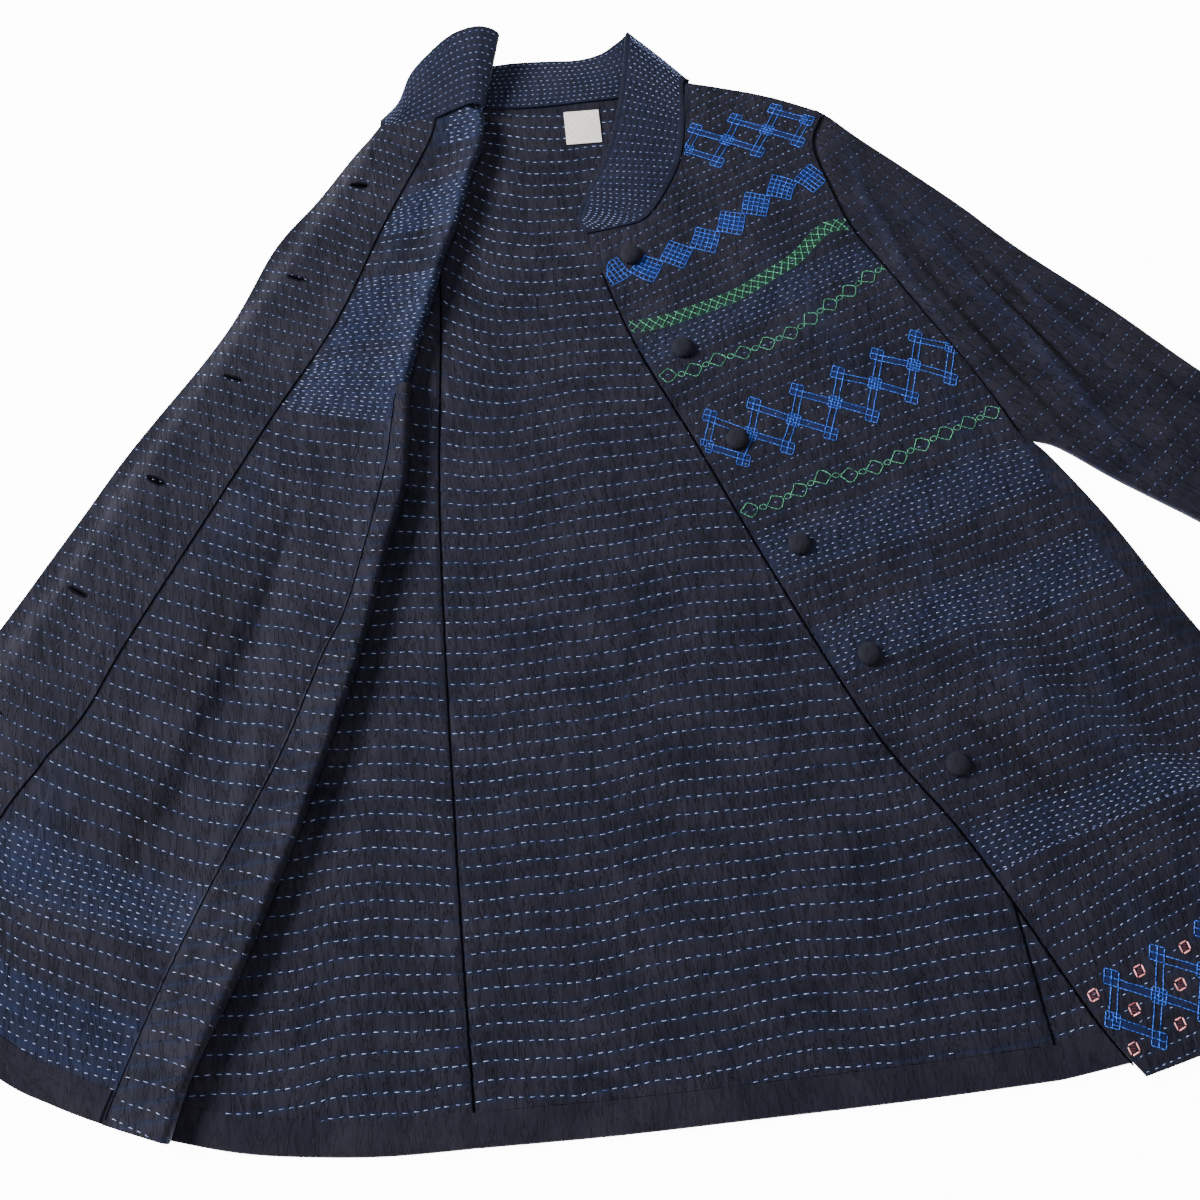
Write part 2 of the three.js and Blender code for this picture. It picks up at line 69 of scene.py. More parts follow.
CREST_Z = 15.5
CREST_RADIUS = 4.2
VALLEY_RADIUS = 1.7
FOLD_LAYER_Z = 7.5
FOLD_SLOPE = 28
SLEEVE_LOOP = 3
HIDDEN_SLEEVE_Z = 3.9
OVER_SLEEVE = 5.4
LIFT_REACH = {"top": 30, "under": 45, "cuff": 56}
LIFT_RUN = 20
ROLL_RUN = 21
CHEST = {"x": 165, "y": 610, "rise": 2.4, "spread": 95}
LABEL = {"x": -3, "y": 845, "turn": math.radians(-3)}
HEM_DEPTH = 22
BUTTONHOLE = {"across": 0.6, "first": 75, "pitch": 105, "count": 6}


def size(name):
    """A size from the settings, in millimetres."""
    return getattr(bpy.context.scene.coat_settings, name) * 1000


# ---- curves and surfaces ----

def seam(*points):
    """A smooth curve through points, by share of its length.

    Between p1 and p2, with neighbours p0 and p3 and the end points doubled, it is
    (2 p1 + (p2 - p0) t + (2 p0 - 5 p1 + 4 p2 - p3) t^2 + (3 p1 - p0 - 3 p2 + p3) t^3) / 2.
    """
    p = np.array(points, float)
    p = np.vstack([p[:1], p, p[-1:]])
    t = np.linspace(0, 1, 24, endpoint=False)[None, :, None]
    p0, p1, p2, p3 = (p[i:len(p) - 3 + i, None] for i in range(4))
    line = p1 + 0.5 * ((p2 - p0) * t + (2 * p0 - 5 * p1 + 4 * p2 - p3) * t ** 2
                       + (3 * p1 - p0 - 3 * p2 + p3) * t ** 3)
    line = np.vstack([line.reshape(-1, p.shape[1]), p[-1:]])
    run = np.concatenate([[0], np.cumsum(np.linalg.norm(np.diff(line, axis=0), axis=1))])
    length = run[-1]

    def at(share):
        s = np.clip(np.asarray(share, float), 0, 1) * length
        return np.stack([np.interp(s, run, line[:, k]) for k in range(line.shape[1])], -1)

    at.length = length
    return at


def joined(first, second, share):
    """The first curve up to a share, then the second."""
    def at(t):
        t = np.asarray(t, float)
        low = first(t / share)
        high = second((t - share) / (1 - share))
        return np.where((t <= share)[..., None], low, high)
    return at


def part(curve, start, end):
    """A stretch of a curve, as a curve of its own."""
    return lambda t: curve(start + (end - start) * np.asarray(t, float))


def between(bottom, top, left, right):
    """A surface between four seams: the two ruled surfaces added, less the one through the corners."""
    def at(u, v):
        u, v = np.broadcast_arrays(np.asarray(u, float), np.asarray(v, float))
        a, b = u[..., None], v[..., None]
        ruled = bottom(u) * (1 - b) + top(u) * b + left(v) * (1 - a) + right(v) * a
        low = bottom(0.0) * (1 - a) + bottom(1.0) * a
        high = top(0.0) * (1 - a) + top(1.0) * a
        return ruled - low * (1 - b) - high * b
    return at


def smooth(t):
    """3 t^2 - 2 t^3, held at 0 and 1."""
    t = np.clip(t, 0, 1)
    return t * t * (3 - 2 * t)


def unit(v):
    return v / np.maximum(np.linalg.norm(v, axis=-1, keepdims=True), 1e-9)


def with_z(xy, z):
    return np.concatenate([xy, np.broadcast_to(z, xy.shape[:-1])[..., None]], -1)


def distance_to(x, y, line):
    """Distance from points to a polyline, and the share of the polyline nearest to each."""
    line = np.asarray(line, float)
    near = np.full(np.shape(x), 1e9)
    share = np.zeros(np.shape(x))
    for i in range(len(line) - 1):
        (ax, ay), (bx, by) = line[i], line[i + 1]
        run = max((bx - ax) ** 2 + (by - ay) ** 2, 1e-9)
        t = np.clip(((x - ax) * (bx - ax) + (y - ay) * (by - ay)) / run, 0, 1)
        d = np.hypot(x - ax - t * (bx - ax), y - ay - t * (by - ay))
        share = np.where(d < near, (i + t) / (len(line) - 1), share)
        near = np.minimum(near, d)
    return near, share


def inside(x, y, outline):
    """Whether points lie within a closed outline: a ray to the right crosses it oddly often."""
    odd = np.zeros(np.shape(x), bool)
    ring = np.asarray(outline, float)
    for (ax, ay), (bx, by) in zip(ring, np.roll(ring, -1, 0)):
        if ay == by:
            continue
        crosses = ((ay > y) != (by > y)) & (x < (bx - ax) * (y - ay) / (by - ay) + ax)
        odd ^= crosses
    return odd


# ---- seams and edges: (x, y), each from the hem up or from the centre out ----

princess_right = seam((-195, 12), (-187, 220), (-172, 480), (-150, 684), (-138, 866))
princess_left = seam((214, -4), (204, 220), (178, 480), (152, 684), (138, 866))
hem_back_line = seam((-195, 12), (-100, 6), (0, 2), (110, -2), (214, -4))
neck_back = seam(
    (-138, 866), (-100, 879), (-50, 875.4), (0, 875), (50, 874.6), (98, 879), (138, 866))
hem_side_left = seam((214, -4), (320, 6), (420, 27), (517, 66))
fold_left = seam(
    (517, 66), (475, 150), (437, 235), (399, 308), (362, 395), (330, 457), (316, 478))
side_seam_left = seam(
    (500, 59), (459, 142), (421, 227), (383, 300), (347, 388), (321, 452), (311, 481))
armhole_left = seam(
    (311, 483), (288, 545), (259, 607), (237, 655), (215, 703), (205, 751), (200, 794), (216, 827))
shoulder_back_left = seam((138, 866), (178, 847), (216, 827))
front_edge_left = seam(
    (270, -10), (245, 35), (190, 163), (138, 257), (89, 387), (46, 513), (10, 615), (-10, 700),
    (-17, 728))
hem_front_left = seam((270, -10), (340, 4), (420, 28), (500, 59))
neck_front_left = seam(
    (-17, 728), (16, 731), (39, 737), (60, 761), (80, 795), (91, 836), (97, 879))
shoulder_front_left = seam((97, 879), (163, 855), (216, 827))
hem_side_right = seam((-195, 12), (-257, 16), (-313, 24), (-360, 34), (-418, 53))
valley = seam((-418, 53), (-372, 165), (-325, 280), (-278, 440), (-258, 600))
armhole_right = seam(
    (-264, 606), (-240, 648), (-217, 698), (-203, 745), (-194, 790), (-195, 822))
shoulder_back_right = seam((-138, 866), (-165, 848), (-195, 822))
crest_below_arm = seam(
    (-400, 46), (-382, 89), (-346, 151), (-303, 236), (-278, 292), (-244, 371), (-215, 457),
    (-195, 513), (-185, 588), (-182.4, 599.5))
crest_above_arm = seam(
    (-182, 600), (-168, 640), (-150, 688), (-137, 723), (-120, 762), (-108, 799), (-95, 828),
    (-90, 851), (-89, 868))
side_seam_right = seam(
    (-447, 64), (-406, 146), (-363, 218), (-310, 302), (-273, 375), (-249, 417), (-212, 522),
    (-196.4, 588), (-190.4, 599.6))
roll_above_arm = seam(
    (-190, 600), (-176, 640), (-158, 688), (-145, 723), (-128, 762), (-115, 799), (-102, 828),
    (-97, 851), (-96, 868))
facing_seam = seam(
    (-588, 166), (-519, 289), (-459, 352), (-423, 409), (-339, 531), (-294, 596), (-239, 672),
    (-192, 761), (-146, 840), (-134, 872))
front_edge_right = seam(
    (-656, 236), (-590, 346), (-522, 435), (-460, 518), (-415, 579), (-336, 674), (-288, 755),
    (-245, 802), (-210, 844), (-185, 868))
hem_front_right_line = seam((-447, 64), (-482, 82), (-519, 105), (-588, 166))
hem_facing = seam((-588, 166), (-624, 199), (-656, 236))
neck_front_right = seam((-96, 868), (-109, 877), (-134, 872))
neck_facing = seam((-134, 872), (-161, 868), (-185, 868))

SLEEVES = {
    "left": {
        "top": seam((219, 825), (243, 793), (272, 760), (315, 710), (354, 660), (414, 593),
                    (475, 519), (560, 423)),
        "under": seam((316, 484), (343, 468), (382, 433), (436, 389), (476, 352)),
        "mouth": part(armhole_left, 1, 0),
        "puff": 2.6,
    },
    "right": {
        "top": seam((-197, 820), (-300, 676), (-402, 535), (-505, 392)),
        "under": seam((-271, 601), (-332, 522), (-380, 425), (-414, 326)),
        "mouth": part(armhole_right, 1, 0),
        "puff": 0.25,
    },
}

# The collar's stations: a point on its neck seam and one on its free edge, from right to left.
COLLAR = (
    ((-186, 865, 7.7), (-184, 875, 7.5)),
    ((-172, 865, 8.7), (-166, 891, 10)),
    ((-158, 865.5, 8.8), (-153, 916, 14)),
    ((-138, 868.5, 9.3), (-135, 932, 19)),
    ((-116, 874, 12), (-110, 948, 24)),
    ((-98, 876, 15), (-84, 951, 27)),
    ((-89, 872, 12), (-67, 945, 22)),
    ((-99, 876, 8), (-77, 940, 16)),
    ((-118, 883, 4.6), (-96, 934, 10)),
    ((-116, 883, 3.1), (-94, 928, 5)),
    ((-98, 880, 3.1), (-82, 926, 3)),
    ((-62, 875, 3.1), (-55, 926, 3)),
    ((-28, 873, 3.1), (-24, 923, 3.5)),
    ((6, 872.8, 3.1), (2, 920, 4)),
    ((44, 872.8, 3.1), (24, 922, 6)),
    ((80, 877, 3.1), (39, 929, 8.5)),
    ((96, 881, 3.1), (48, 934.5, 10)),
    ((101, 883, 3), (52.5, 938, 12)),
    ((96, 881, 4.8), (49.5, 932, 13.5)),
    ((93, 861, 4.9), (42, 898, 11)),
    ((89.4, 836.5, 4.9), (31, 858, 8)),
    ((78.4, 796, 4.9), (12, 808, 6)),
    ((58.6, 762.4, 4.9), (-8, 776, 5)),
    ((38, 738.6, 4.9), (-18, 757, 4.9)),
    ((15.8, 732.6, 4.9), (-21, 745, 4.9)),
    ((-16, 729.6, 4.9), (-20, 736, 4.9)),
)
COLLAR_FOLDS = {"right": 6, "back": 8, "left": 17}

FOLD_DEPTHS = {"y": (0, 280, 440, 520, 600, 870), "depth": (24, 50, 68, 82, 84, 90)}
BUTTON_PLACES = ((19, 701), (48, 603), (78, 512), (111, 414), (146, 316), (193, 222))


# ---- heights of the layers ----

whole_crest = joined(crest_below_arm, crest_above_arm, 0.65)(np.linspace(0, 1, 161))


def crest_x(y):
    return np.interp(y, whole_crest[:, 1], whole_crest[:, 0])


def crease(x, y, line, width, depth):
    """A soft fold along a line: depth exp(-(d / width)^2), fading to nothing at both ends."""
    d, share = distance_to(x, y, line)
    return depth * np.exp(-(d / width) ** 2) * np.sin(math.pi * np.clip(share, 0, 1)) ** 0.6


def unevenness(x, y, seed):
    """Lies between 0 and 1: waves of 60 to 200 mm that bend each other."""
    a = np.sin(x / 31 + 1.7 * np.sin(y / 53 + seed) + seed)
    b = np.sin(y / 27 + 1.4 * np.sin(x / 41 - 2 * seed) + 2.3 * seed)
    c = np.sin((x + y) / 17 + 1.1 * np.sin((x - y) / 36 + seed))
    return 0.5 + 0.2 * a + 0.18 * b + 0.12 * c


# Folds, one by one: width and depth in millimetres, depth above zero for a ridge, then the line.
BACK_CREASES = (
    (7, -0.8, ((-82, 872), (-90, 830), (-93, 788), (-106, 749), (-114, 710), (-122, 672))),
    (9, 1.0, ((-64, 868), (-70, 812), (-84, 744), (-98, 690), (-108, 640))),
    (6, -0.7, ((-269, 243), (-286, 196), (-291, 172), (-295, 117), (-302, 82))),
    (2.6, -0.9, ((55, 470), (64, 440), (67, 421), (80, 378))),
    (2.4, -0.9, ((70, 424), (76, 399), (85, 380), (103, 333), (121, 284))),
    (3.5, -0.6, ((140, 236), (168, 176), (190, 120))),
    (3.0, -0.6, ((196, 118), (214, 70), (232, 22))),
    (10, 0.7, ((-40, 560), (-30, 430), (-44, 300), (-36, 170))),
    (12, 0.6, ((-140, 400), (-128, 280), (-136, 150), (-126, 60))),
    (10, 0.6, ((60, 300), (52, 190), (62, 80))),
    (5, 0.5, ((-240, 300), (-262, 200), (-270, 110))),
)
LEFT_CREASES = (
    (13, 2.8, ((214, 337), (228, 324), (244, 307), (279, 260), (299, 241), (318, 221),
               (339, 200), (361, 177), (384, 150))),
    (10, 1.8, ((301, 368), (315, 321), (323, 283), (325, 244), (333, 212))),
    (5, -1.5, ((203, 271), (219, 241), (233, 235), (243, 221), (250, 211), (262, 195),
               (271, 174))),
    (9, 1.2, ((196, 420), (204, 396), (214, 362), (226, 330))),
    (12, 0.8, ((120, 700), (160, 640), (190, 560), (200, 500))),
    (10, 0.8, ((250, 560), (262, 500), (270, 430))),
    (8, 0.8, ((330, 140), (352, 96), (380, 56))),
    (10, 0.7, ((280, 130), (300, 84), (322, 30))),
)
RIGHT_CREASES = (
    (8, -1.3, ((-338, 460), (-350, 412), (-360, 396), (-371, 382), (-380, 368), (-386, 345))),
    (7, -1.1, ((-405, 287), (-416, 268), (-422, 255), (-432, 226))),
    (6, -1.0, ((-352, 216), (-384, 150), (-414, 92))),
    (6, 0.9, ((-340, 214), (-372, 150), (-400, 96))),
    (12, 1.0, ((-300, 560), (-330, 500), (-362, 452))),
    (10, 0.8, ((-210, 700), (-232, 640), (-262, 580))),
    (14, 0.9, ((-470, 330), (-490, 270), (-520, 210))),
    (9, 0.9, ((-150, 800), (-178, 742), (-208, 690))),
)
SLEEVE_CREASES = (
    (5, 2.0, ((226, 812), (231, 780), (234, 733), (248, 679), (256, 638), (276, 590))),
    (6, 2.4, ((264, 749), (286, 694), (311, 635), (334, 590), (360, 532), (385, 473), (414, 420))),
    (3.4, -1.9, ((315, 670), (339, 626), (352, 600))),
    (3.4, -2.1, ((358, 618), (426, 541), (465, 491), (500, 450))),
    (3.2, -2.0, ((295, 677), (321, 624), (365, 548), (398, 489))),
    (3.6, -1.6, ((258, 690), (284, 620), (322, 540), (360, 470))),
    (4, 1.6, ((278, 740), (300, 700), (330, 650), (380, 570), (430, 500))),
    (4, 1.5, ((340, 650), (400, 575), (452, 510), (500, 440))),
    (3.2, 1.2, ((250, 742), (276, 690), (300, 640), (330, 570))),
)


def folded(x, y, creases):
    return sum(crease(x, y, line, width, depth) for width, depth, line in creases)


def groove(x, y, lines):
    """How far cloth dips at the seams that hold it: 0.75 exp(-(d / 1.7)^2) from the nearest."""
    near = np.full(np.shape(x), 1e9)
    for line in lines:
        near = np.minimum(near, distance_to(x, y, line)[0])
    return 0.75 * np.exp(-(near / 1.7) ** 2)


def points_on(curve, count=40):
    return curve(np.linspace(0, 1, count))


BACK_SEAMS = [points_on(c) for c in (princess_right, princess_left)]
LEFT_SEAMS = [points_on(c) for c in (armhole_left,)]


def back_z(x, y):
    """Middle of the back, which lies on the surface."""
    near_hem = smooth((y + 10) / 60)
    return (FLOOR_Z + 0.7 * unevenness(x, y, 0.4) + near_hem * folded(x, y, BACK_CREASES)
            - groove(x, y, BACK_SEAMS)).clip(WALL / 2)


def left_plain_z(x, y):
    from_chest = np.hypot(x - CHEST["x"], y - CHEST["y"]) / CHEST["spread"]
    return TOP_Z + CHEST["rise"] * np.exp(-from_chest ** 2 / 2)


def left_z(x, y):
    """Middle of the left front: it swells over the chest and has soft folds below the arm."""
    return (left_plain_z(x, y) + 0.8 * unevenness(x, y, 1.9) + folded(x, y, LEFT_CREASES)
            - groove(x, y, LEFT_SEAMS)).clip(TOP_Z)


def beside(x, y, start, end):
    """Signed distance from a line through two points, positive on its right."""
    (ax, ay), (bx, by) = start, end
    return ((y - ay) * (ax - bx) + (x - ax) * (by - ay)) / math.hypot(bx - ax, by - ay)


def right_plain_z(x, y):
    """The right front comes down from the crest, over the fold and the sleeve, to the surface."""
    hidden = SLEEVES["right"]
    cuff_top, cuff_under = hidden["top"](1.0), hidden["under"](1.0)
    shoulder, underarm = hidden["top"](0.0), hidden["under"](0.0)
    lift = (smooth((beside(x, y, cuff_top, shoulder) + LIFT_REACH["top"]) / LIFT_RUN)
            * smooth((beside(x, y, underarm, cuff_under) + LIFT_REACH["under"]) / LIFT_RUN)
            * smooth((beside(x, y, cuff_under, cuff_top) + LIFT_REACH["cuff"]) / LIFT_RUN))
    from_crest = crest_x(y) - x
    depth = np.interp(y, FOLD_DEPTHS["y"], FOLD_DEPTHS["depth"])
    over_fold = (FOLD_LAYER_Z - 0.9) * (1 - smooth((from_crest - depth) / FOLD_SLOPE))
    roll = (CREST_Z - FOLD_LAYER_Z) * np.exp(-(np.maximum(from_crest, 0) / ROLL_RUN) ** 2)
    return 0.9 + np.maximum(over_fold, OVER_SLEEVE * lift) + roll


def right_z(x, y):
    """Middle of the right front and of the cloth that runs on from it to the crest."""
    away = smooth((crest_x(y) - x) / 30)
    return (right_plain_z(x, y)
            + away * (0.7 * unevenness(x, y, 3.1) + 0.3 + folded(x, y, RIGHT_CREASES))).clip(0.9)


def sleeve_z(x, y):
    """Middle of the left sleeve's upper layer: a low dome between its two edges."""
    sleeve = SLEEVES["left"]
    to_top, along = distance_to(x, y, points_on(sleeve["top"], 30))
    to_under = distance_to(x, y, points_on(sleeve["under"], 30))[0]
    across = to_top / (to_top + to_under + 1e-6)
    dome = sleeve["puff"] * np.sin(math.pi * across) * smooth(along * 3)
    base = left_plain_z(x, y) * (1 - smooth(along * 4)) + TOP_Z * smooth(along * 4)
    folds = 1.4 * folded(x, y, SLEEVE_CREASES) * smooth(across * 6) * smooth((1 - across) * 6)
    dip = 1.7 * np.exp(-(distance_to(x, y, points_on(armhole_left))[0] / 6) ** 2)
    return base + dome + folds - dip + 0.6 * unevenness(x, y, 5.2) * np.sin(math.pi * across)


# ---- rows of running stitch ----
# A field has point(q, r), the place q millimetres along row r, and place(x, y), its inverse.

class RisingRows:
    """Rows that cross a panel from left to right: y is height(x, r), which rises with r."""

    def __init__(self, height, low, high):
        self.height, self.low, self.high = height, low, high

    def point(self, q, r):
        return np.stack([q, self.height(q, r)], -1)

    def place(self, x, y):
        """Halves the span of r until height(x, r) is y."""
        low, high = np.full(np.shape(x), self.low, float), np.full(np.shape(x), self.high, float)
        for _ in range(22):
            middle = (low + high) / 2
            under = self.height(x, middle) < y
            low, high = np.where(under, middle, low), np.where(under, high, middle)
        return x, (low + high) / 2


BACK_RISE = {
    "row": (0, 272, 330, 420, 555, 600, 640, 700, 745, 785, 840, 880),
    "from_x": (-190, -190, -186, -182, -130, -112, -118, -106, -100, -84, -60, -60),
    "slope": (0.08, 0.18, 0.24, 0.12, 0.36, 0.7, 0.85, 1.4, 1.15, 0.9, 0.35, 0.2),
}


def back_row(x, r):
    """Level rows that wave a little and turn up beside the right fold."""
    start = np.interp(r, BACK_RISE["row"], BACK_RISE["from_x"]) - x
    rise = np.interp(r, BACK_RISE["row"], BACK_RISE["slope"])
    past = 0.5 * (start + np.sqrt(start ** 2 + 400)) - 2
    wave = 2.3 * np.sin(x / 36 + 0.9 * np.sin(r / 90) + r / 210) + 1.1 * np.sin(x / 17 - r / 67)
    wave = wave + 0.35 * np.sin(x / 6 + r)
    return r + wave + rise * np.minimum(past, 90)


RIGHT_ROWS = {
    "row": (88, 125, 173, 210, 327, 373, 402, 446, 566, 630, 706, 725, 790, 880),
    "right_x": (-446, -406, -387, -377, -262, -257, -236, -227, -191, -177, -150, -137, -115, -95),
    "left_x": (-517, -514, -514, -513, -440, -404, -366, -331, -290, -255, -220, -202, -174, -140),
    "left_y": (123, 186, 233, 285, 400, 431, 452, 484, 600, 633, 706, 730, 781, 880),
}


def right_row(x, r):
    """Rows of the right front, r high at the side and rising towards the front."""
    right_x = np.interp(r, RIGHT_ROWS["row"], RIGHT_ROWS["right_x"])
    left_x = np.interp(r, RIGHT_ROWS["row"], RIGHT_ROWS["left_x"])
    left_y = np.interp(r, RIGHT_ROWS["row"], RIGHT_ROWS["left_y"])
    t = (right_x - x) / (right_x - left_x)
    wave = 1.7 * np.sin(x / 31 + r / 70) + 0.8 * np.sin(x / 14 - r / 43)
    return r + (left_y - r) * (0.7 * t + 0.3 * t * np.abs(t)) + wave


facing_middle = (points_on(facing_seam) + points_on(front_edge_right)) / 2
FACING_SLOPE = {"row": (200, 440, 620, 690, 765, 880), "slope": (0.6, 0.57, 0.45, 0.47, 0.62, 0.5)}


def facing_row(x, r):
    """Rows square to the front edge, r high at the middle of the facing."""
    middle = np.interp(r, facing_middle[:, 1], facing_middle[:, 0])
    slope = np.interp(r, FACING_SLOPE["row"], FACING_SLOPE["slope"])
    wave = 0.9 * np.sin(x / 21 + r / 17) + 0.4 * np.sin(x / 8 - r / 11)
    return r - slope * (x - middle) + wave


LEFT_ROWS = {
    "row": (-40, 35, 104, 163, 250, 323, 400, 431, 513, 609, 660, 714, 780, 880),
    "edge_x": (285, 245, 217, 190, 142, 114, 85, 74, 46, 12, 1, -12, -12, -12),
    "slope": (0.28, 0.3, 0.33, 0.22, 0.23, 0.2, 0.21, 0.22, 0.28, 0.34, 0.35, 0.39, 0.42, 0.42),
}
RIDGE = np.array(
    ((196, 356), (228, 324), (244, 307), (279, 260), (299, 241), (318, 221), (339, 200),
     (361, 177), (392, 140)))[::-1]
RIDGE_DROP = {"y": (120, 180, 222, 262, 320, 372), "drop": (3, 9, 15, 14, 10, 0)}


def left_row(x, r):
    """Rows of the left front, r high at its edge and rising to the side, lower past its fold."""
    edge_x = np.interp(r, LEFT_ROWS["row"], LEFT_ROWS["edge_x"])
    slope = np.interp(r, LEFT_ROWS["row"], LEFT_ROWS["slope"])
    plain = r + slope * (x - edge_x)
    past = x - np.interp(plain, RIDGE[:, 1], RIDGE[:, 0])
    drop = np.interp(plain, RIDGE_DROP["y"], RIDGE_DROP["drop"])
    wave = 1.0 * np.sin(x / 31 + r / 23) + 0.5 * np.sin(x / 13 - r / 31)
    return plain + wave - drop * smooth((past + 8) / 62)


class SleeveRows:
    """Rows across a sleeve, r from the shoulder to the cuff, turned a little near the shoulder."""

    start = np.array((216.0, 780.0))
    along = unit(np.array((0.69, -0.72)))
    across = unit(np.array((0.72, 0.69)))
    TURN = {"row": (-100, 0, 150, 400), "turn": (0.24, 0.22, 0.15, 0.05)}

    def turn(self, r):
        return np.interp(r, self.TURN["row"], self.TURN["turn"])

    def point(self, q, r):
        q, r = np.broadcast_arrays(q, r)
        run = r + self.turn(r) * q - 0.0007 * q ** 2 + 1.0 * np.sin(q / 17 + r / 19)
        return self.start + run[..., None] * self.along + q[..., None] * self.across

    def place(self, x, y):
        x, y = x - self.start[0], y - self.start[1]
        run = x * self.along[0] + y * self.along[1]
        q = x * self.across[0] + y * self.across[1]
        r = run
        for _ in range(4):
            r = run - self.turn(r) * q + 0.0007 * q ** 2 - 1.0 * np.sin(q / 17 + r / 19)
        return q, r


BACK = RisingRows(back_row, -60, 900)
RIGHT = RisingRows(right_row, -60, 940)
FACING = RisingRows(facing_row, 60, 980)
LEFT = RisingRows(left_row, -200, 900)
SLEEVE = SleeveRows()


# ---- outlines of the panels, for stitches ----

def ring(*curves):
    return np.vstack([points_on(c) for c in curves])


def backwards(curve):
    return lambda t: curve(1 - np.asarray(t, float))


OUTLINES = {
    "back": ring(backwards(hem_side_right), hem_back_line, hem_side_left, fold_left, armhole_left,
                 backwards(shoulder_back_left), backwards(neck_back), shoulder_back_right,
                 backwards(armhole_right), backwards(valley)),
    "right": ring(backwards(hem_front_right_line), side_seam_right, roll_above_arm,
                  neck_front_right, backwards(facing_seam)),
    "facing": ring(hem_facing, front_edge_right, backwards(neck_facing), backwards(facing_seam)),
    "left": ring(hem_front_left, side_seam_left, armhole_left, backwards(shoulder_front_left),
                 backwards(neck_front_left), backwards(front_edge_left)),
    "sleeve": ring(SLEEVES["left"]["top"], backwards(SLEEVES["left"]["under"]), armhole_left),
}


# ---- meshes ----

def to_metres(points):
    return (points - (0, WAIST_Y, 0)) / 1000


def new_object(name, vertices, faces, material, uv=None, tone=None, blue_and_painted_light=None, sharp=40):
    """A mesh from arrays of points in metres and of corner numbers, a row to a face."""
    mesh = bpy.data.meshes.new(name)
    mesh.vertices.add(len(vertices))
    mesh.vertices.foreach_set("co", vertices.astype(np.float32).ravel())
    sizes = np.concatenate([np.full(len(f), f.shape[1]) for f in faces])
    corners = np.concatenate([f.ravel() for f in faces]).astype(np.int32)
    mesh.loops.add(len(corners))
    mesh.loops.foreach_set("vertex_index", corners)
    mesh.polygons.add(len(sizes))
    starts = np.concatenate([[0], np.cumsum(sizes)[:-1]]).astype(np.int32)
    mesh.polygons.foreach_set("loop_start", starts)
    mesh.update(calc_edges=True)
    mesh.validate()
    mesh.shade_smooth()
    if sharp:
        mesh.set_sharp_from_angle(angle=math.radians(sharp))
    if uv is not None:
        layer = mesh.uv_layers.new(name="rows")
        layer.data.foreach_set("uv", uv[corners].astype(np.float32).ravel())
    if tone is not None:
        mesh.attributes.new("tone", "FLOAT", "POINT").data.foreach_set(
            "value", tone.astype(np.float32))
    if blue_and_painted_light is not None:
        mesh.attributes.new("blue_and_painted_light", "FLOAT", "POINT").data.foreach_set(
            "value", blue_and_painted_light.astype(np.float32))
    mesh.materials.append(material)
    piece = bpy.data.objects.new(name, mesh)
    bpy.context.scene.collection.objects.link(piece)
    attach(piece, "root")
    return piece


def wall(points, thickness, keep=None, closed=False):
    """Vertices and faces of a closed cloth wall round a grid of points.

    Each side is the grid moved along its normal by half the thickness, and every edge that only
    one cell uses gets a rounded rim of two strips.
    """
    rows, cols = points.shape[:2]
    down = np.gradient(points, axis=0)
    if closed:
        over = (np.roll(points, -1, 1) - np.roll(points, 1, 1)) / 2
    else:
        over = np.gradient(points, axis=1)
    normal = unit(np.cross(over, down)).reshape(-1, 3)
    flat = points.reshape(-1, 3)
    count = len(flat)
    number = np.arange(count).reshape(rows, cols)
    here = number if closed else number[:, :-1]
    over = np.roll(number, -1, 1) if closed else number[:, 1:]
    cells = np.stack([here[:-1], over[:-1], over[1:], here[1:]], -1)
    cells = cells[keep] if keep is not None else cells
    cells = cells.reshape(-1, 4)
    edges = np.stack([cells, np.roll(cells, -1, 1)], -1).reshape(-1, 2)
    lone = ~np.isin(edges[:, 0] * count + edges[:, 1], edges[:, 1] * count + edges[:, 0])
    rim = edges[lone]
    outward = np.zeros((count, 3))
    direction = unit(np.cross(unit(flat[rim[:, 1]] - flat[rim[:, 0]]), normal[rim[:, 0]]))
    np.add.at(outward, rim[:, 0], direction)
    np.add.at(outward, rim[:, 1], direction)
    half = thickness / 2
    edge_points = flat + unit(outward) * half * 0.35
    vertices = np.vstack([flat + normal * half, flat - normal * half, edge_points])
    faces = np.vstack([
        cells,
        cells[:, ::-1] + count,
        np.stack([rim[:, 0], rim[:, 0] + 2 * count, rim[:, 1] + 2 * count, rim[:, 1]], -1),
        np.stack([rim[:, 0] + 2 * count, rim[:, 0] + count, rim[:, 1] + count,
                  rim[:, 1] + 2 * count], -1),
    ])
    used, faces = np.unique(faces, return_inverse=True)
    return vertices, used, faces.reshape(-1, 4)


def cloth(name, points, material, thickness=WALL, field=None, uv=None, keep=None, closed=False,
          blue_and_painted_light=None):
    """A piece of cloth from its middle surface, with metres along and across its rows as UV."""
    vertices, used, faces = wall(points, thickness, keep, closed)
    if uv is None:
        q, r = field.place(points[..., 0].ravel(), points[..., 1].ravel())
        uv = np.stack([q, r], -1)
    uv = np.vstack([uv.reshape(-1, 2)] * 3) / 1000
    # The per-point blue is partly rows lying close and partly painted highlight and shade along folds and
    # the crest.
    blue = np.zeros(len(uv)) if blue_and_painted_light is None else np.tile(blue_and_painted_light.ravel(), 3)
    return new_object(name, to_metres(vertices[used]), [faces], material, uv=uv[used],
                      blue_and_painted_light=blue[used])


def shares(length, step=GRID):
    return np.linspace(0, 1, max(2, round(length / step) + 1))


def panel_rows(length):
    """Shares up a panel, with one exactly at the underarm."""
    below = shares(length * UNDERARM) * UNDERARM
    above = UNDERARM + shares(length * (1 - UNDERARM)) * (1 - UNDERARM)
    return np.concatenate([below, above[1:]]), len(below) - 1


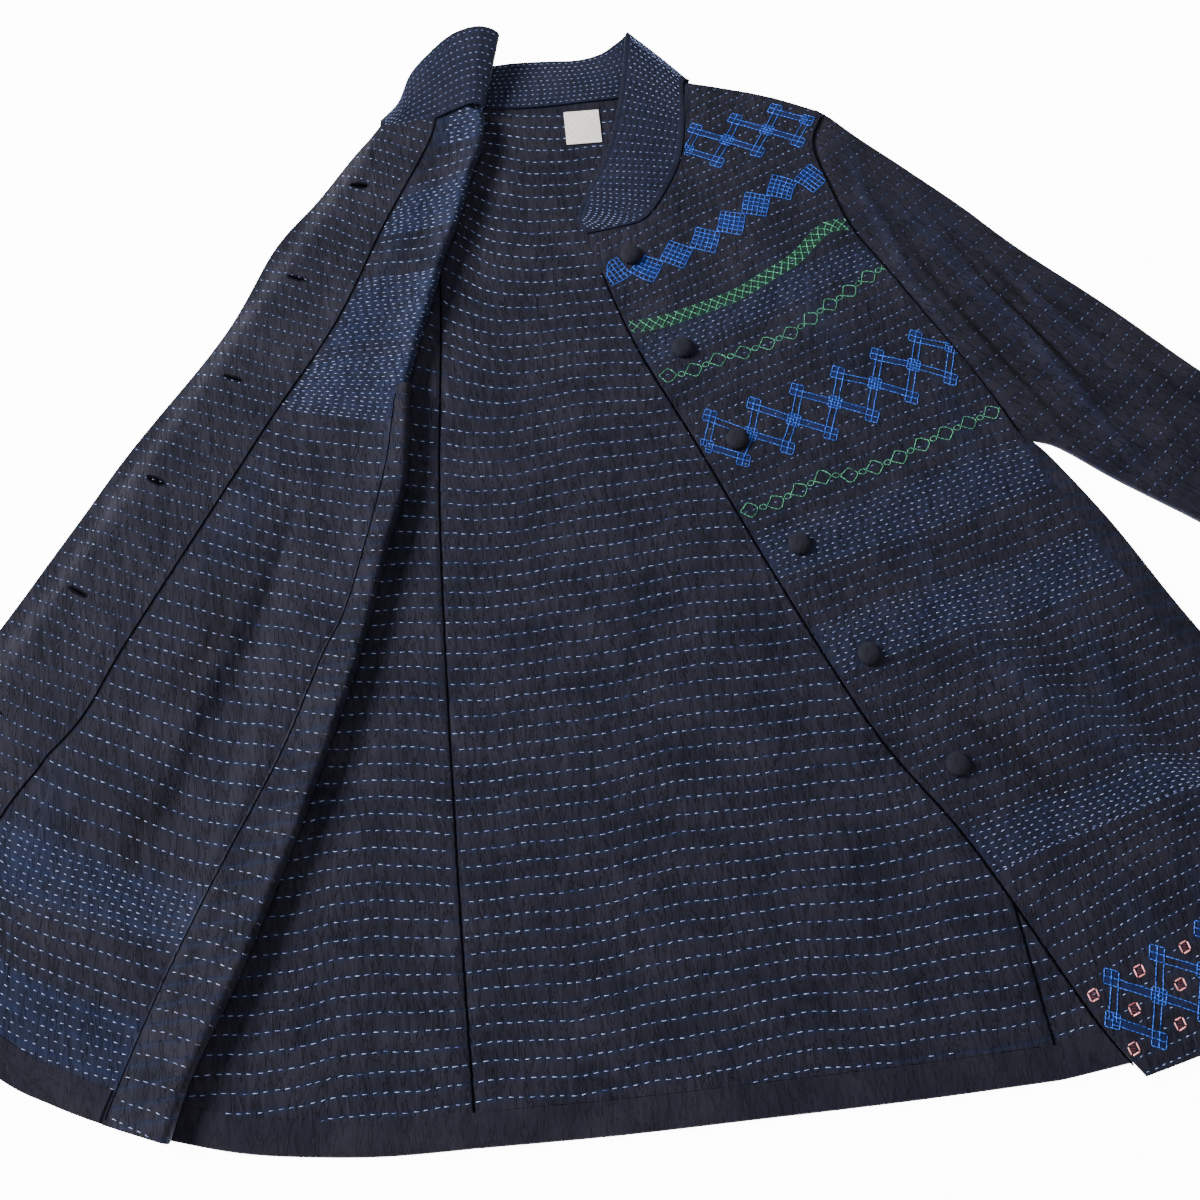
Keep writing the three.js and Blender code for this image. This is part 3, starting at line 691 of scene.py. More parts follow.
def half_turn(start, end, outward, radius, count=8):
    """Half a turn of cloth from start to end: (1 - cos a) / 2 of the way, radius sin a outward."""
    a = np.linspace(0, math.pi, count + 1)[1:-1][None, :, None]
    way = (1 - np.cos(a)) / 2
    return start[:, None] * (1 - way) + end[:, None] * way + outward[:, None] * radius * np.sin(a)


# ---- stitches ----

class Threads:
    """Straight stitches, gathered by colour group, each a thin closed spindle."""

    def __init__(self, seed):
        self.random = np.random.default_rng(seed)
        self.groups = []

    def add(self, start, end, tone, width, height):
        """Stitches from start to end, both (n, 3) in millimetres on the cloth's surface."""
        count = len(start)
        tone = tone * (1 + 0.28 * self.random.standard_normal(count))
        self.groups.append((start, end, np.clip(tone, 0.05, 1.6), np.full(count, width),
                            np.full(count, height)))

    def build(self, name, material):
        """Each stitch has three points round it at 18% and 82% of its length, and two ends."""
        start, end, tone, width, height = (np.concatenate(x) for x in zip(*self.groups))
        run = end - start
        ahead = unit(run)
        side = unit(np.cross(np.array((0.0, 0.0, 1.0)), ahead))
        up = np.cross(ahead, side)
        vertices = np.empty((len(start), 8, 3))
        vertices[:, 0] = start - up * 0.25
        vertices[:, 7] = end - up * 0.25
        for k, angle in enumerate((90, 210, 330)):
            out = (side * (width / 2 * math.cos(math.radians(angle)))[:, None]
                   + up * (height * math.sin(math.radians(angle)))[:, None])
            vertices[:, 1 + k] = start + run * 0.18 + out
            vertices[:, 4 + k] = start + run * 0.82 + out
        number = np.arange(len(start))[:, None, None] * 8
        tips = np.array(((0, 2, 1), (0, 3, 2), (0, 1, 3), (7, 4, 5), (7, 5, 6), (7, 6, 4)))
        sides = np.array(((1, 2, 5, 4), (2, 3, 6, 5), (3, 1, 4, 6)))
        shade = np.repeat(tone[:, None], 8, 1)
        # Painted shade: both ends are darker where the stitch dives into the cloth.
        shade[:, (0, 7)] *= 0.2
        faces = [(tips + number).reshape(-1, 3), (sides + number).reshape(-1, 4)]
        return new_object(name, to_metres(vertices.reshape(-1, 3)), faces, material,
                          tone=shade.ravel(), sharp=0)


def running(threads, field, height, outline, rows, span, dash, period, lift=WALL / 2,
            avoid=(), tone=1.0, width=0.85, margin=2.2, keep=None, over=None):
    """Rows of running stitch on a panel.

    Each row is walked from span[0] to span[1]; its stitches start a period apart, give or take
    8%, and those over the outline, or near the points to avoid, are left out.
    """
    starts, ends = [], []
    q = np.arange(span[0], span[1], 2.0)
    for number, row in enumerate(rows):
        line = field.point(q, np.full(q.shape, float(row)))
        run = np.concatenate([[0], np.cumsum(np.linalg.norm(np.diff(line, axis=0), axis=1))])
        first = (number % 2) * period / 2 + threads.random.uniform(0, 0.5) * period
        at = np.arange(first, run[-1] - dash, period)
        at = at + threads.random.uniform(-0.08, 0.08, len(at)) * period
        long = dash * threads.random.uniform(0.82, 1.15, len(at))
        stray = threads.random.normal(0, 0.22, (2, len(at)))
        for store, s, off in ((starts, at, stray[0]), (ends, at + long, stray[1])):
            store.append(np.stack([np.interp(s, run, line[:, 0]),
                                   np.interp(s, run, line[:, 1]) + off], -1))
    start, end = np.vstack(starts), np.vstack(ends)
    middle = (start + end) / 2
    x, y = middle.T
    good = inside(x, y, outline) & (distance_to(x, y, np.vstack([outline, outline[:1]]))[0] > margin)
    if keep is not None:
        good &= keep(x, y)
    for points, reach in avoid:
        if len(points):
            gap = np.full(len(x), 1e9)
            for block in np.array_split(points, max(1, len(points) // 400)):
                reached = np.hypot(x[:, None] - block[:, 0], y[:, None] - block[:, 1])
                gap = np.minimum(gap, reached.min(1))
            good &= gap > reach
    start, end = start[good], end[good]
    place = over or (lambda p: with_z(p, height(p[:, 0], p[:, 1]) + lift))
    threads.add(place(start), place(end), tone, width, 0.5)


def drawn(threads, lines, place, step=3.3, tone=1.0, width=1.0, gap=0.06):
    """Lines of embroidery, each cut into stitches of about step with a small gap between them."""
    starts, ends = [], []
    for line in lines:
        line = np.asarray(line, float)
        run = np.concatenate([[0], np.cumsum(np.linalg.norm(np.diff(line, axis=0), axis=1))])
        count = max(1, round(run[-1] / step))
        s = np.linspace(0, run[-1], count + 1)
        apart = gap * run[-1] / count
        for store, at in ((starts, s[:-1] + apart), (ends, s[1:] - apart)):
            store.append(np.stack([np.interp(at, run, line[:, k]) for k in (0, 1)], -1))
    start, end = np.vstack(starts), np.vstack(ends)
    jitter = threads.random.normal(0, 0.16, (2,) + start.shape)
    threads.add(place(start + jitter[0]), place(end + jitter[1]), tone, width, 0.6)


# ---- embroidered motifs, as lines in millimetres along and across a band ----

def diamond(half_along, half_across, turn=0.0):
    corners = np.array(((-1, 0), (0, 1), (1, 0), (0, -1), (-1, 0)), float)
    corners *= (half_along, half_across)
    c, s = math.cos(turn), math.sin(turn)
    return corners @ np.array(((c, s), (-s, c)))


def netted_diamond(half, cells, turn):
    """A square diamond filled with a net of lines, cells each way."""
    side = half * math.sqrt(2) / 2
    lines = []
    for k in np.linspace(-side, side, cells + 1):
        lines += [np.array(((k, -side), (k, side))), np.array(((-side, k), (side, k)))]
    c, s = math.cos(turn + math.pi / 4), math.sin(turn + math.pi / 4)
    return [line @ np.array(((c, s), (-s, c))) for line in lines]


def along_band(axis, lines):
    """Bends lines from a band's (along, across) onto its axis: axis(s) + across * normal(s)."""
    bent = []
    for line in lines:
        line = np.asarray(line, float)
        fine = np.linspace(0, len(line) - 1, 4 * (len(line) - 1) + 1)
        s = np.interp(fine, np.arange(len(line)), line[:, 0])
        across = np.interp(fine, np.arange(len(line)), line[:, 1])
        here = axis(s / axis.length)
        ahead = axis((s + 2) / axis.length) - axis((s - 2) / axis.length)
        normal = unit(np.stack([-ahead[:, 1], ahead[:, 0]], -1))
        bent.append(here + normal * across[:, None])
    return bent


DIAMOND_BAND = seam(
    (-4, 688), (20, 684), (49, 693), (78, 703), (108, 719), (140, 739), (172, 755), (200, 757),
    (212, 757))
LATTICE_BAND = seam(
    (5, 630), (35, 631), (72, 639), (102, 647), (129, 660), (160, 676), (193, 703), (222, 703))
CHAIN_UPPER = seam(
    (24, 580), (44, 579), (73, 587), (98, 591), (128, 599), (147, 606), (168, 619), (196, 635),
    (217, 648), (242, 660))
CHAIN_LOWER = seam(
    (69, 448), (95, 451), (120, 460), (143, 469), (163, 467), (185, 471), (207, 477), (232, 487),
    (270, 499), (310, 512))
# One repeat of the crossed bars, along and across its line: a joint at its start, an upper and a
# lower end, and three small diamonds round it. Each band is a line and how wide the repeat is on it.
BAR_REPEAT = {"pitch": 38.5, "upper": (15, 21), "lower": (22, -21)}
DIAMOND_REPEAT = ((-3, 20), (18, 0), (3, -22))
BAR_BANDS = (
    {"line": seam((86, 804), (222, 824)), "width": 0.8, "diamonds": False},
    {"line": seam((52, 510), (140, 526), (280, 573)), "width": 0.95, "diamonds": False},
    {"line": seam((257, 29), (496, 101)), "width": 1.0, "diamonds": True},
)
CELL = 5.2
NET = {"half": 15.5, "cells": 5, "turn": math.radians(-6), "first": 6, "pitch": 29.5,
       "ground": 0.68}
LATTICE = {"half_width": 6.3, "span": 12.0, "first": -6, "pitch": 8.2, "ground_run": 9}
CHAIN = {"first": 8, "pitch": 22.5, "large": (8, 7.4), "small": (3.7, 3.4), "to_small": 11.4}
SMALL_DIAMOND = {"half": (4.6, 5.2), "turn": math.radians(-30), "ground": (2.2, -0.6), "wide": 4.4}
def on_line(line, start, offset):
    """The point an offset (along, across) from a place start millimetres along a line."""
    here = line(np.clip(start / line.length, 0, 1))
    ahead = unit(line(1.0) - line(0.0))
    return here + ahead * offset[0] + np.array((-ahead[1], ahead[0])) * offset[1]


def crossed_bars(line, width):
    """Double bars that fall to the right through a joint, and steep double lines between them.

    Every end and joint has a block of two cells each way. Returns the lines, and the ground under
    each bar as its two ends and its width.
    """
    starts = np.arange(0, line.length, BAR_REPEAT["pitch"])
    joints = np.array([on_line(line, start, (0, 0)) for start in starts])
    tops, bottoms = (
        np.array([on_line(line, start, (along, across * width)) for start in starts])
        for along, across in (BAR_REPEAT["upper"], BAR_REPEAT["lower"]))
    count = min(len(bottoms), len(joints) - 1, len(tops))
    bars = [(tops[k], joints[k + 1]) for k in range(count)]
    bars += [(joints[k], bottoms[k]) for k in range(count)]
    steep = [(tops[k], joints[k]) for k in range(count)]
    steep += [(joints[k + 1], bottoms[k]) for k in range(count)]
    lines, ground = [], []
    for pairs, bold in ((bars, True), (steep, False)):
        for a, b in pairs:
            ahead = unit(b - a)
            side = np.array((-ahead[1], ahead[0])) * CELL / 2
            for off in (side, -side):
                lines.append(np.array((a + off, b + off)))
            if bold:
                ground.append((a, b, CELL))
    fall = unit(sum(b - a for a, b in bars)) * CELL
    climb = unit(sum(a - b for a, b in steep)) * CELL
    for centres, shift in ((tops, (climb - fall) / 2), (joints, 0 * fall),
                           (bottoms, (fall - climb) / 2)):
        for centre in centres:
            middle = centre + shift
            for k in (-1, 0, 1):
                lines.append(np.array((middle + climb * k - fall, middle + climb * k + fall)))
                lines.append(np.array((middle + fall * k - climb, middle + fall * k + climb)))
            ground.append((middle - fall, middle + fall, 2 * CELL))
    return lines, ground


# ---- materials ----

def node(tree, kind, links=None, **values):
    """A node with its properties and inputs set; links maps an input to another node's output."""
    made = tree.nodes.new(kind)
    for key, value in values.items():
        if hasattr(made, key):
            setattr(made, key, value)
        else:
            made.inputs[key.replace("_", " ")].default_value = value
    for key, source in (links or {}).items():
        tree.links.new(source, made.inputs[key])
    return made


def cloth_group():
    """Plain weave with slubs, puckers along the rows and fine wrinkles across them.

    Height is weave + slubs + wrinkles + pucker + patches. Color goes from cloth to worn cloth on
    the crowns and takes the thread's blue beside the rows and where the per-point value is above
    zero, which is partly rows lying close and partly painted highlight along folds. It is darkened
    by painted shade in the wrinkles and where that value is below zero, along hollows. Its
    coordinates are the rows' UV, in metres.
    """
    group = bpy.data.node_groups.new("quilted weave", "ShaderNodeTree")
    face = group.interface
    for name, low in (("Row Spacing", 0.0125), ("Pucker", 1.0), ("Wrinkle", 1.0)):
        face.new_socket(name, in_out="INPUT", socket_type="NodeSocketFloat").default_value = low
    for name in ("Color", "Worn Color", "Thread And Highlight Blue"):
        face.new_socket(name, in_out="INPUT", socket_type="NodeSocketColor")
    face.new_socket("Color", in_out="OUTPUT", socket_type="NodeSocketColor")
    face.new_socket("Height", in_out="OUTPUT", socket_type="NodeSocketFloat")
    face.new_socket("Roughness", in_out="OUTPUT", socket_type="NodeSocketFloat")
    enter = group.nodes.new("NodeGroupInput")
    leave = group.nodes.new("NodeGroupOutput")
    link = group.links.new
    uv = node(group, "ShaderNodeUVMap", uv_map="rows")
    split = node(group, "ShaderNodeSeparateXYZ", {"Vector": uv.outputs["UV"]})

    def scaled(along, across):
        stretch = node(group, "ShaderNodeVectorMath", {0: uv.outputs["UV"]}, operation="MULTIPLY")
        stretch.inputs[1].default_value = (along, across, 1)
        return stretch.outputs["Vector"]

    def noise(vector, detail=2.0, rough=0.5, distort=0.0):
        made = node(group, "ShaderNodeTexNoise", {"Vector": vector})
        made.inputs["Scale"].default_value = 1.0
        made.inputs["Detail"].default_value = detail
        made.inputs["Roughness"].default_value = rough
        made.inputs["Distortion"].default_value = distort
        return made.outputs["Fac"]

    def math_node(operation, a, b=None, c=None, clamp=False):
        made = node(group, "ShaderNodeMath", operation=operation)
        made.use_clamp = clamp
        for i, value in enumerate((a, b, c)):
            if value is None:
                continue
            if isinstance(value, (int, float)):
                made.inputs[i].default_value = value
            else:
                link(value, made.inputs[i])
        return made.outputs[0]

    def ramp(value, low, high):
        made = node(group, "ShaderNodeMapRange", {"Value": value}, interpolation_type="SMOOTHSTEP")
        made.inputs["From Min"].default_value = low
        made.inputs["From Max"].default_value = high
        return made.outputs["Result"]

    # Threads of the weave, with slubs that run across the rows.
    weave = noise(scaled(1500, 950), 1.0)
    slubs = noise(scaled(900, 110), 3.0, 0.6)
    # Wrinkles: thin creases square to the rows, and wider gathers.
    thin = noise(scaled(210, 48), 3.0, 0.6, 0.4)
    creases = ramp(math_node("ABSOLUTE", math_node("SUBTRACT", thin, 0.56)), 0.0, 0.035)
    gathers = noise(scaled(120, 38), 2.0, 0.5, 0.3)
    # Puckers: the cloth swells between one row and the next.
    phase = math_node("DIVIDE", split.outputs["Y"], enter.outputs["Row Spacing"])
    swell = math_node("SINE", math_node("MULTIPLY", phase, math.pi))
    swell = math_node("SQRT", math_node("ABSOLUTE", swell))
    patches = noise(scaled(22, 22), 2.0, 0.5)
    height = math_node("MULTIPLY", weave, 0.10)
    height = math_node("MULTIPLY_ADD", slubs, 0.22, height)
    deep = math_node("MULTIPLY", math_node("SUBTRACT", gathers, 0.5), 2.3)
    deep = math_node("MULTIPLY_ADD", creases, 0.55, deep)
    deep = math_node("MULTIPLY", deep, enter.outputs["Wrinkle"])
    height = math_node("ADD", height, deep)
    height = math_node("MULTIPLY_ADD", math_node("MULTIPLY", swell, 0.55),
                       enter.outputs["Pucker"], height)
    height = math_node("MULTIPLY_ADD", patches, 0.8, height)
    link(height, leave.inputs["Height"])
    worn = math_node("MULTIPLY_ADD", slubs, 0.55, math_node("MULTIPLY", patches, 0.55))
    worn = math_node("MULTIPLY", ramp(worn, 0.36, 0.78), math_node("MULTIPLY_ADD", swell, 0.4, 0.6))
    blend = node(group, "ShaderNodeMix", data_type="RGBA")
    link(worn, blend.inputs["Factor"])
    link(enter.outputs["Color"], blend.inputs[6])
    link(enter.outputs["Worn Color"], blend.inputs[7])
    # Blue thread shows through beside the rows and where they lie close together; the per-point value
    # also brings a painted highlight, blue, along raised folds and the crest.
    dense = node(group, "ShaderNodeAttribute", attribute_name="blue_and_painted_light")
    beside = math_node("POWER", math_node("SUBTRACT", 1.0, swell), 1.3)
    beside = math_node("MULTIPLY", beside, math_node("MULTIPLY", enter.outputs["Pucker"], 0.5))
    through = math_node("ADD", beside, dense.outputs["Fac"], clamp=True)
    blued = node(group, "ShaderNodeMix", data_type="RGBA")
    link(through, blued.inputs["Factor"])
    link(blend.outputs[2], blued.inputs[6])
    link(enter.outputs["Thread And Highlight Blue"], blued.inputs[7])
    # Painted shade: darker along the thin wrinkles, and where the per-point value is below zero, along
    # hollows.
    dark = math_node("MULTIPLY_ADD", creases, 0.34, 0.66)
    painted_hollow_shade = math_node("ADD", math_node("MINIMUM", dense.outputs["Fac"], 0.0), 1.0, clamp=True)
    dark = math_node("MULTIPLY", dark, painted_hollow_shade)
    shade = node(group, "ShaderNodeVectorMath", {0: blued.outputs[2]}, operation="SCALE")
    link(dark, shade.inputs["Scale"])
    link(shade.outputs["Vector"], leave.inputs["Color"])
    link(math_node("MULTIPLY_ADD", slubs, 0.18, 0.74), leave.inputs["Roughness"])
    return group


THREAD_AND_HIGHLIGHT_BLUE = (0.011, 0.019, 0.054)


def principled(name):
    material = bpy.data.materials.new(name)
    material.use_nodes = True
    return material, material.node_tree, material.node_tree.nodes["Principled BSDF"]


def quilted(name, group, color, worn, spacing, pucker=1.0, wrinkle=1.0):
    """Quilted cotton, matte, with a faint sheen; spacing is that of its rows, in millimetres."""
    material, tree, shader = principled(name)
    weave = tree.nodes.new("ShaderNodeGroup")
    weave.node_tree = group
    weave.inputs["Color"].default_value = (*color, 1)
    weave.inputs["Worn Color"].default_value = (*worn, 1)
    weave.inputs["Thread And Highlight Blue"].default_value = (*THREAD_AND_HIGHLIGHT_BLUE, 1)
    weave.inputs["Row Spacing"].default_value = spacing / 1000
    weave.inputs["Pucker"].default_value = pucker
    weave.inputs["Wrinkle"].default_value = wrinkle
    bump = tree.nodes.new("ShaderNodeBump")
    bump.inputs["Strength"].default_value = 1.0
    bump.inputs["Distance"].default_value = 0.0009
    tree.links.new(weave.outputs["Height"], bump.inputs["Height"])
    tree.links.new(bump.outputs["Normal"], shader.inputs["Normal"])
    tree.links.new(weave.outputs["Color"], shader.inputs["Base Color"])
    tree.links.new(weave.outputs["Roughness"], shader.inputs["Roughness"])
    shader.inputs["Sheen Weight"].default_value = 0.015
    shader.inputs["Sheen Roughness"].default_value = 0.5
    shader.inputs["Specular IOR Level"].default_value = 0.08
    return material


def thread(name, deep, pale, rough=0.5, sheen=0.03):
    """Cotton thread: pale on its crown; its deep colour is painted shade where a stitch dives into the
    cloth, and the colour of thin ground thread.
    """
    material, tree, shader = principled(name)
    tone = node(tree, "ShaderNodeAttribute", attribute_name="tone")
    place = node(tree, "ShaderNodeTexCoord")
    strands = node(tree, "ShaderNodeTexNoise", {"Vector": place.outputs["Object"]})
    strands.inputs["Scale"].default_value = 1400
    strands.inputs["Detail"].default_value = 1
    mix = node(tree, "ShaderNodeMix", {"Factor": tone.outputs["Fac"]}, data_type="RGBA")
    mix.inputs[6].default_value = (*deep, 1)
    mix.inputs[7].default_value = (*pale, 1)
    mix.clamp_factor = False
    tree.links.new(mix.outputs[2], shader.inputs["Base Color"])
    bump = node(tree, "ShaderNodeBump", {"Height": strands.outputs["Fac"]})
    bump.inputs["Distance"].default_value = 0.0002
    tree.links.new(bump.outputs["Normal"], shader.inputs["Normal"])
    shader.inputs["Roughness"].default_value = rough
    shader.inputs["Specular IOR Level"].default_value = 0.15 if sheen else 0.02
    shader.inputs["Sheen Weight"].default_value = sheen
    return material


# Each quilted finish: its title, its rows' spacing in millimetres, its puckers and its wrinkles.
QUILTED = {
    "back": ("quilted back", 12.5, 1.0, 1.0),
    "front": ("quilted front", 9.3, 0.8, 1.0),
    "inside": ("quilted inside", 12.0, 0.9, 1.0),
    "facing": ("quilted facing", 9.3, 0.8, 1.0),
    "sleeve": ("quilted sleeve", 12.6, 0.45, 1.0),
    "collar": ("quilted collar", 5, 0.8, 0.5),
    "hem": ("plain cotton", 40, 0.1, 0.35),
}
MATERIALS = {}


def material(name):
    """Each finish is made once, when it is first asked for."""
    if name not in MATERIALS:
        settings = bpy.context.scene.coat_settings
        if "weave" not in MATERIALS:
            MATERIALS["weave"] = cloth_group()
        weave = MATERIALS["weave"]
        cloth_color, worn = tuple(settings.cloth), tuple(settings.worn)
        blue, pale = tuple(settings.stitch_deep), tuple(settings.stitch_pale)
        makers = {
            "button": lambda: quilted("button cotton", weave, tuple(settings.button),
                                      tuple(settings.button), 40, 0.0, 0.2),
            "stitches": lambda: thread("stitch thread", blue, pale),
            "blue": lambda: thread("blue thread", (0.001, 0.006, 0.055), tuple(settings.blue)),
            "green": lambda: thread("green thread", (0.002, 0.022, 0.010), tuple(settings.green)),
            "pink": lambda: thread("pink thread", (0.06, 0.002, 0.004), tuple(settings.pink)),
            "tape": label_tape,
            "dark": lambda: thread("dark thread and painted shade", (0.0008, 0.0008, 0.0015),
                                   (0.010, 0.011, 0.020), 1.0, 0.0),
            "floor": floor_finish,
        }
        if name in QUILTED:
            title, spacing, pucker, wrinkle = QUILTED[name]
            MATERIALS[name] = quilted(title, weave, cloth_color, worn, spacing, pucker, wrinkle)
        else:
            MATERIALS[name] = makers[name]()
    return MATERIALS[name]


def label_tape():
    """Cream woven tape: fine crossing threads."""
    made, tree, shader = principled("label tape")
    place = node(tree, "ShaderNodeTexCoord")
    warp = node(tree, "ShaderNodeTexWave", {"Vector": place.outputs["Object"]})
    warp.inputs["Scale"].default_value = 300
    weft = node(tree, "ShaderNodeTexWave", {"Vector": place.outputs["Object"]},
                bands_direction="Y")
    weft.inputs["Scale"].default_value = 300
    both = node(tree, "ShaderNodeMath", {0: warp.outputs["Fac"], 1: weft.outputs["Fac"]},
                operation="ADD")
    tint = node(tree, "ShaderNodeMix", {"Factor": both.outputs[0]}, data_type="RGBA")
    tint.inputs[6].default_value = (0.66, 0.64, 0.58, 1)
    tint.inputs[7].default_value = (0.80, 0.78, 0.72, 1)
    bump = node(tree, "ShaderNodeBump", {"Height": both.outputs[0]})
    bump.inputs["Distance"].default_value = 0.0002
    tree.links.new(tint.outputs[2], shader.inputs["Base Color"])
    tree.links.new(bump.outputs["Normal"], shader.inputs["Normal"])
    shader.inputs["Roughness"].default_value = 0.8
    return made


def floor_finish():
    made, tree, shader = principled("pale floor")
    place = node(tree, "ShaderNodeTexCoord")
    grain = node(tree, "ShaderNodeTexNoise", {"Vector": place.outputs["Object"]})
    grain.inputs["Scale"].default_value = 40
    tint = node(tree, "ShaderNodeMix", {"Factor": grain.outputs["Fac"]}, data_type="RGBA")
    tint.inputs[6].default_value = (0.93, 0.93, 0.93, 1)
    tint.inputs[7].default_value = (0.95, 0.95, 0.95, 1)
    tree.links.new(tint.outputs[2], shader.inputs["Base Color"])
    shader.inputs["Emission Color"].default_value = (1, 1, 1, 1)
    shader.inputs["Emission Strength"].default_value = 12.0
    shader.inputs["Roughness"].default_value = 0.9
    return made


# ---- cloth pieces ----

DENSE_LEFT = ((590, 612), (386, 424), (304, 341), (140, 172))
RIGHT_DENSE = ((88, 125), (173, 212), (566, 632), (640, 706), (752, 800), (840, 885))
FACING_EDGE = points_on(facing_seam, 60)


def banded(r, bands):
    """1 within bands of rows and 0 outside, soft over 5 mm at their edges."""
    return sum(smooth((r - low + 3) / 5) * smooth((high - r + 3) / 5) for low, high in bands)


def painted_fold_light_and_shade(x, y, creases, strength):
    """Painted highlight, blue, along raised folds, and below zero painted shade along hollows."""
    return strength * sum(
        crease(x, y, line, width * 1.1, 1.0 if depth > 0 else -2.2) for width, depth, line in creases)


def finish(piece, node_name, slot, flat, area, rests_on, held="laid"):
    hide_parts(node_name)
    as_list(rests_on)
    return piece


def panel(bottom, top, left, right, across, z):
    """A grid on a four-seamed panel at its height, and the number of the underarm row."""
    v, underarm = panel_rows(870)
    u = shares(across)
    surface = between(bottom, top, left, right)
    xy = surface(u[None, :], v[:, None])
    return with_z(xy, z(xy[..., 0], xy[..., 1])), underarm


def build_back_centre():
    grid, _ = panel(hem_back_line, neck_back, princess_right, princess_left, 400, back_z)
    piece = cloth("back_center_cloth", grid, material("back"), field=BACK)
    return finish(piece, "back_center", "quilted_cloth", (0.41, 0.88), 0.307, [])


def side_grid(bottom, top, left, outline):
    v, underarm = panel_rows(870)
    surface = between(bottom, top, left, outline)
    xy = surface(shares(230)[None, :], v[:, None])
    return v, underarm, with_z(xy, back_z(xy[..., 0], xy[..., 1]))


def build_back_side_left():
    """Lies under the left front and turns up at the side into a strip on top."""
    outline = joined(fold_left, armhole_left, UNDERARM)
    v, underarm, row = side_grid(hem_side_left, shoulder_back_left, princess_left, outline)
    side = np.minimum(v / UNDERARM, 1)
    edge, end = fold_left(side), side_seam_left(side)
    row_end = with_z(edge, row[:, -1, 2])
    top = with_z(edge, left_z(*edge.T))
    outward = with_z(unit(edge - end), 0)
    bend = half_turn(row_end, top, outward, (TOP_Z - 0.9) / 2)
    strip = np.stack([with_z(p, left_z(*p.T)) for p in (edge, (edge + end) / 2, end)], 1)
    grid = np.concatenate([row, bend, strip], 1)
    keep = np.ones((grid.shape[0] - 1, grid.shape[1] - 1), bool)
    keep[underarm:, row.shape[1] - 1:] = False
    piece = cloth("back_side_left_cloth", grid, material("back"), field=BACK, keep=keep)
    return finish(piece, "back_side_left", "quilted_cloth", (0.32, 0.88), 0.149, [])


def build_back_side_right():
    """Runs to the valley, back to the crest and away again to the side seam."""
    outline = joined(valley, armhole_right, UNDERARM)
    v, underarm, row = side_grid(hem_side_right, shoulder_back_right, princess_right, outline)
    side = np.minimum(v / UNDERARM, 1)
    low, crest, end = valley(side), crest_below_arm(side), side_seam_right(side)
    left = unit(low - crest)
    crest_top = crest + left * CREST_RADIUS
    low_start = with_z(low, row[:, -1, 2])
    valley_top = with_z(low, 0.9 + 2 * VALLEY_RADIUS)
    foot = with_z(crest_top, CREST_Z - 2 * CREST_RADIUS)
    top = with_z(crest_top, right_z(*crest_top.T))
    t = np.linspace(0, 1, 12)[None, :, None]
    under = valley_top[:, None] * (1 - t) + foot[:, None] * t
    above = crest_top[:, None] * (1 - t[:, 1:]) + end[:, None] * t[:, 1:]
    above = with_z(above, right_z(above[..., 0], above[..., 1]))
    grid = np.concatenate([
        row,
        half_turn(low_start, valley_top, with_z(left, 0), VALLEY_RADIUS),
        under,
        half_turn(foot, top, with_z(-left, 0), CREST_RADIUS, 12),
        top[:, None],
        above,
    ], 1)
    keep = np.ones((grid.shape[0] - 1, grid.shape[1] - 1), bool)
    keep[underarm:, row.shape[1] - 1:] = False
    q, r = BACK.place(grid[..., 0].ravel(), grid[..., 1].ravel())
    uv = np.stack([q, r], -1)
    piece = cloth("back_side_right_cloth", grid, material("back"), uv=uv, keep=keep)
    return finish(piece, "back_side_right", "quilted_cloth", (0.30, 0.88), 0.152, [])


def build_front_left():
    top = joined(neck_front_left, shoulder_front_left, 0.62)
    side = joined(side_seam_left, armhole_left, UNDERARM)
    grid, _ = panel(hem_front_left, top, front_edge_left, side, 330, left_z)
    x, y = grid[..., 0], grid[..., 1]
    # Blue where rows lie close, with painted highlight along raised folds and painted shade along
    # hollows.
    blue_and_painted_light = banded(LEFT.place(x, y)[1], DENSE_LEFT) * 0.22 + painted_fold_light_and_shade(x, y, LEFT_CREASES, 0.14)
    near = np.stack([distance_to(x, y, points_on(band))[0]
                     for band in (DIAMOND_BAND, LATTICE_BAND, CHAIN_UPPER, CHAIN_LOWER)]).min(0)
    blue_and_painted_light = blue_and_painted_light + 0.05 * np.exp(-(near / 12) ** 2)
    piece = cloth("front_left_cloth", grid, material("front"), field=LEFT, blue_and_painted_light=blue_and_painted_light)
    return finish(piece, "front_left", "quilted_cloth", (0.34, 0.90), 0.2,
                  ["back_center_cloth", "back_side_left_cloth"])


right_roll = joined(side_seam_right, roll_above_arm, UNDERARM)


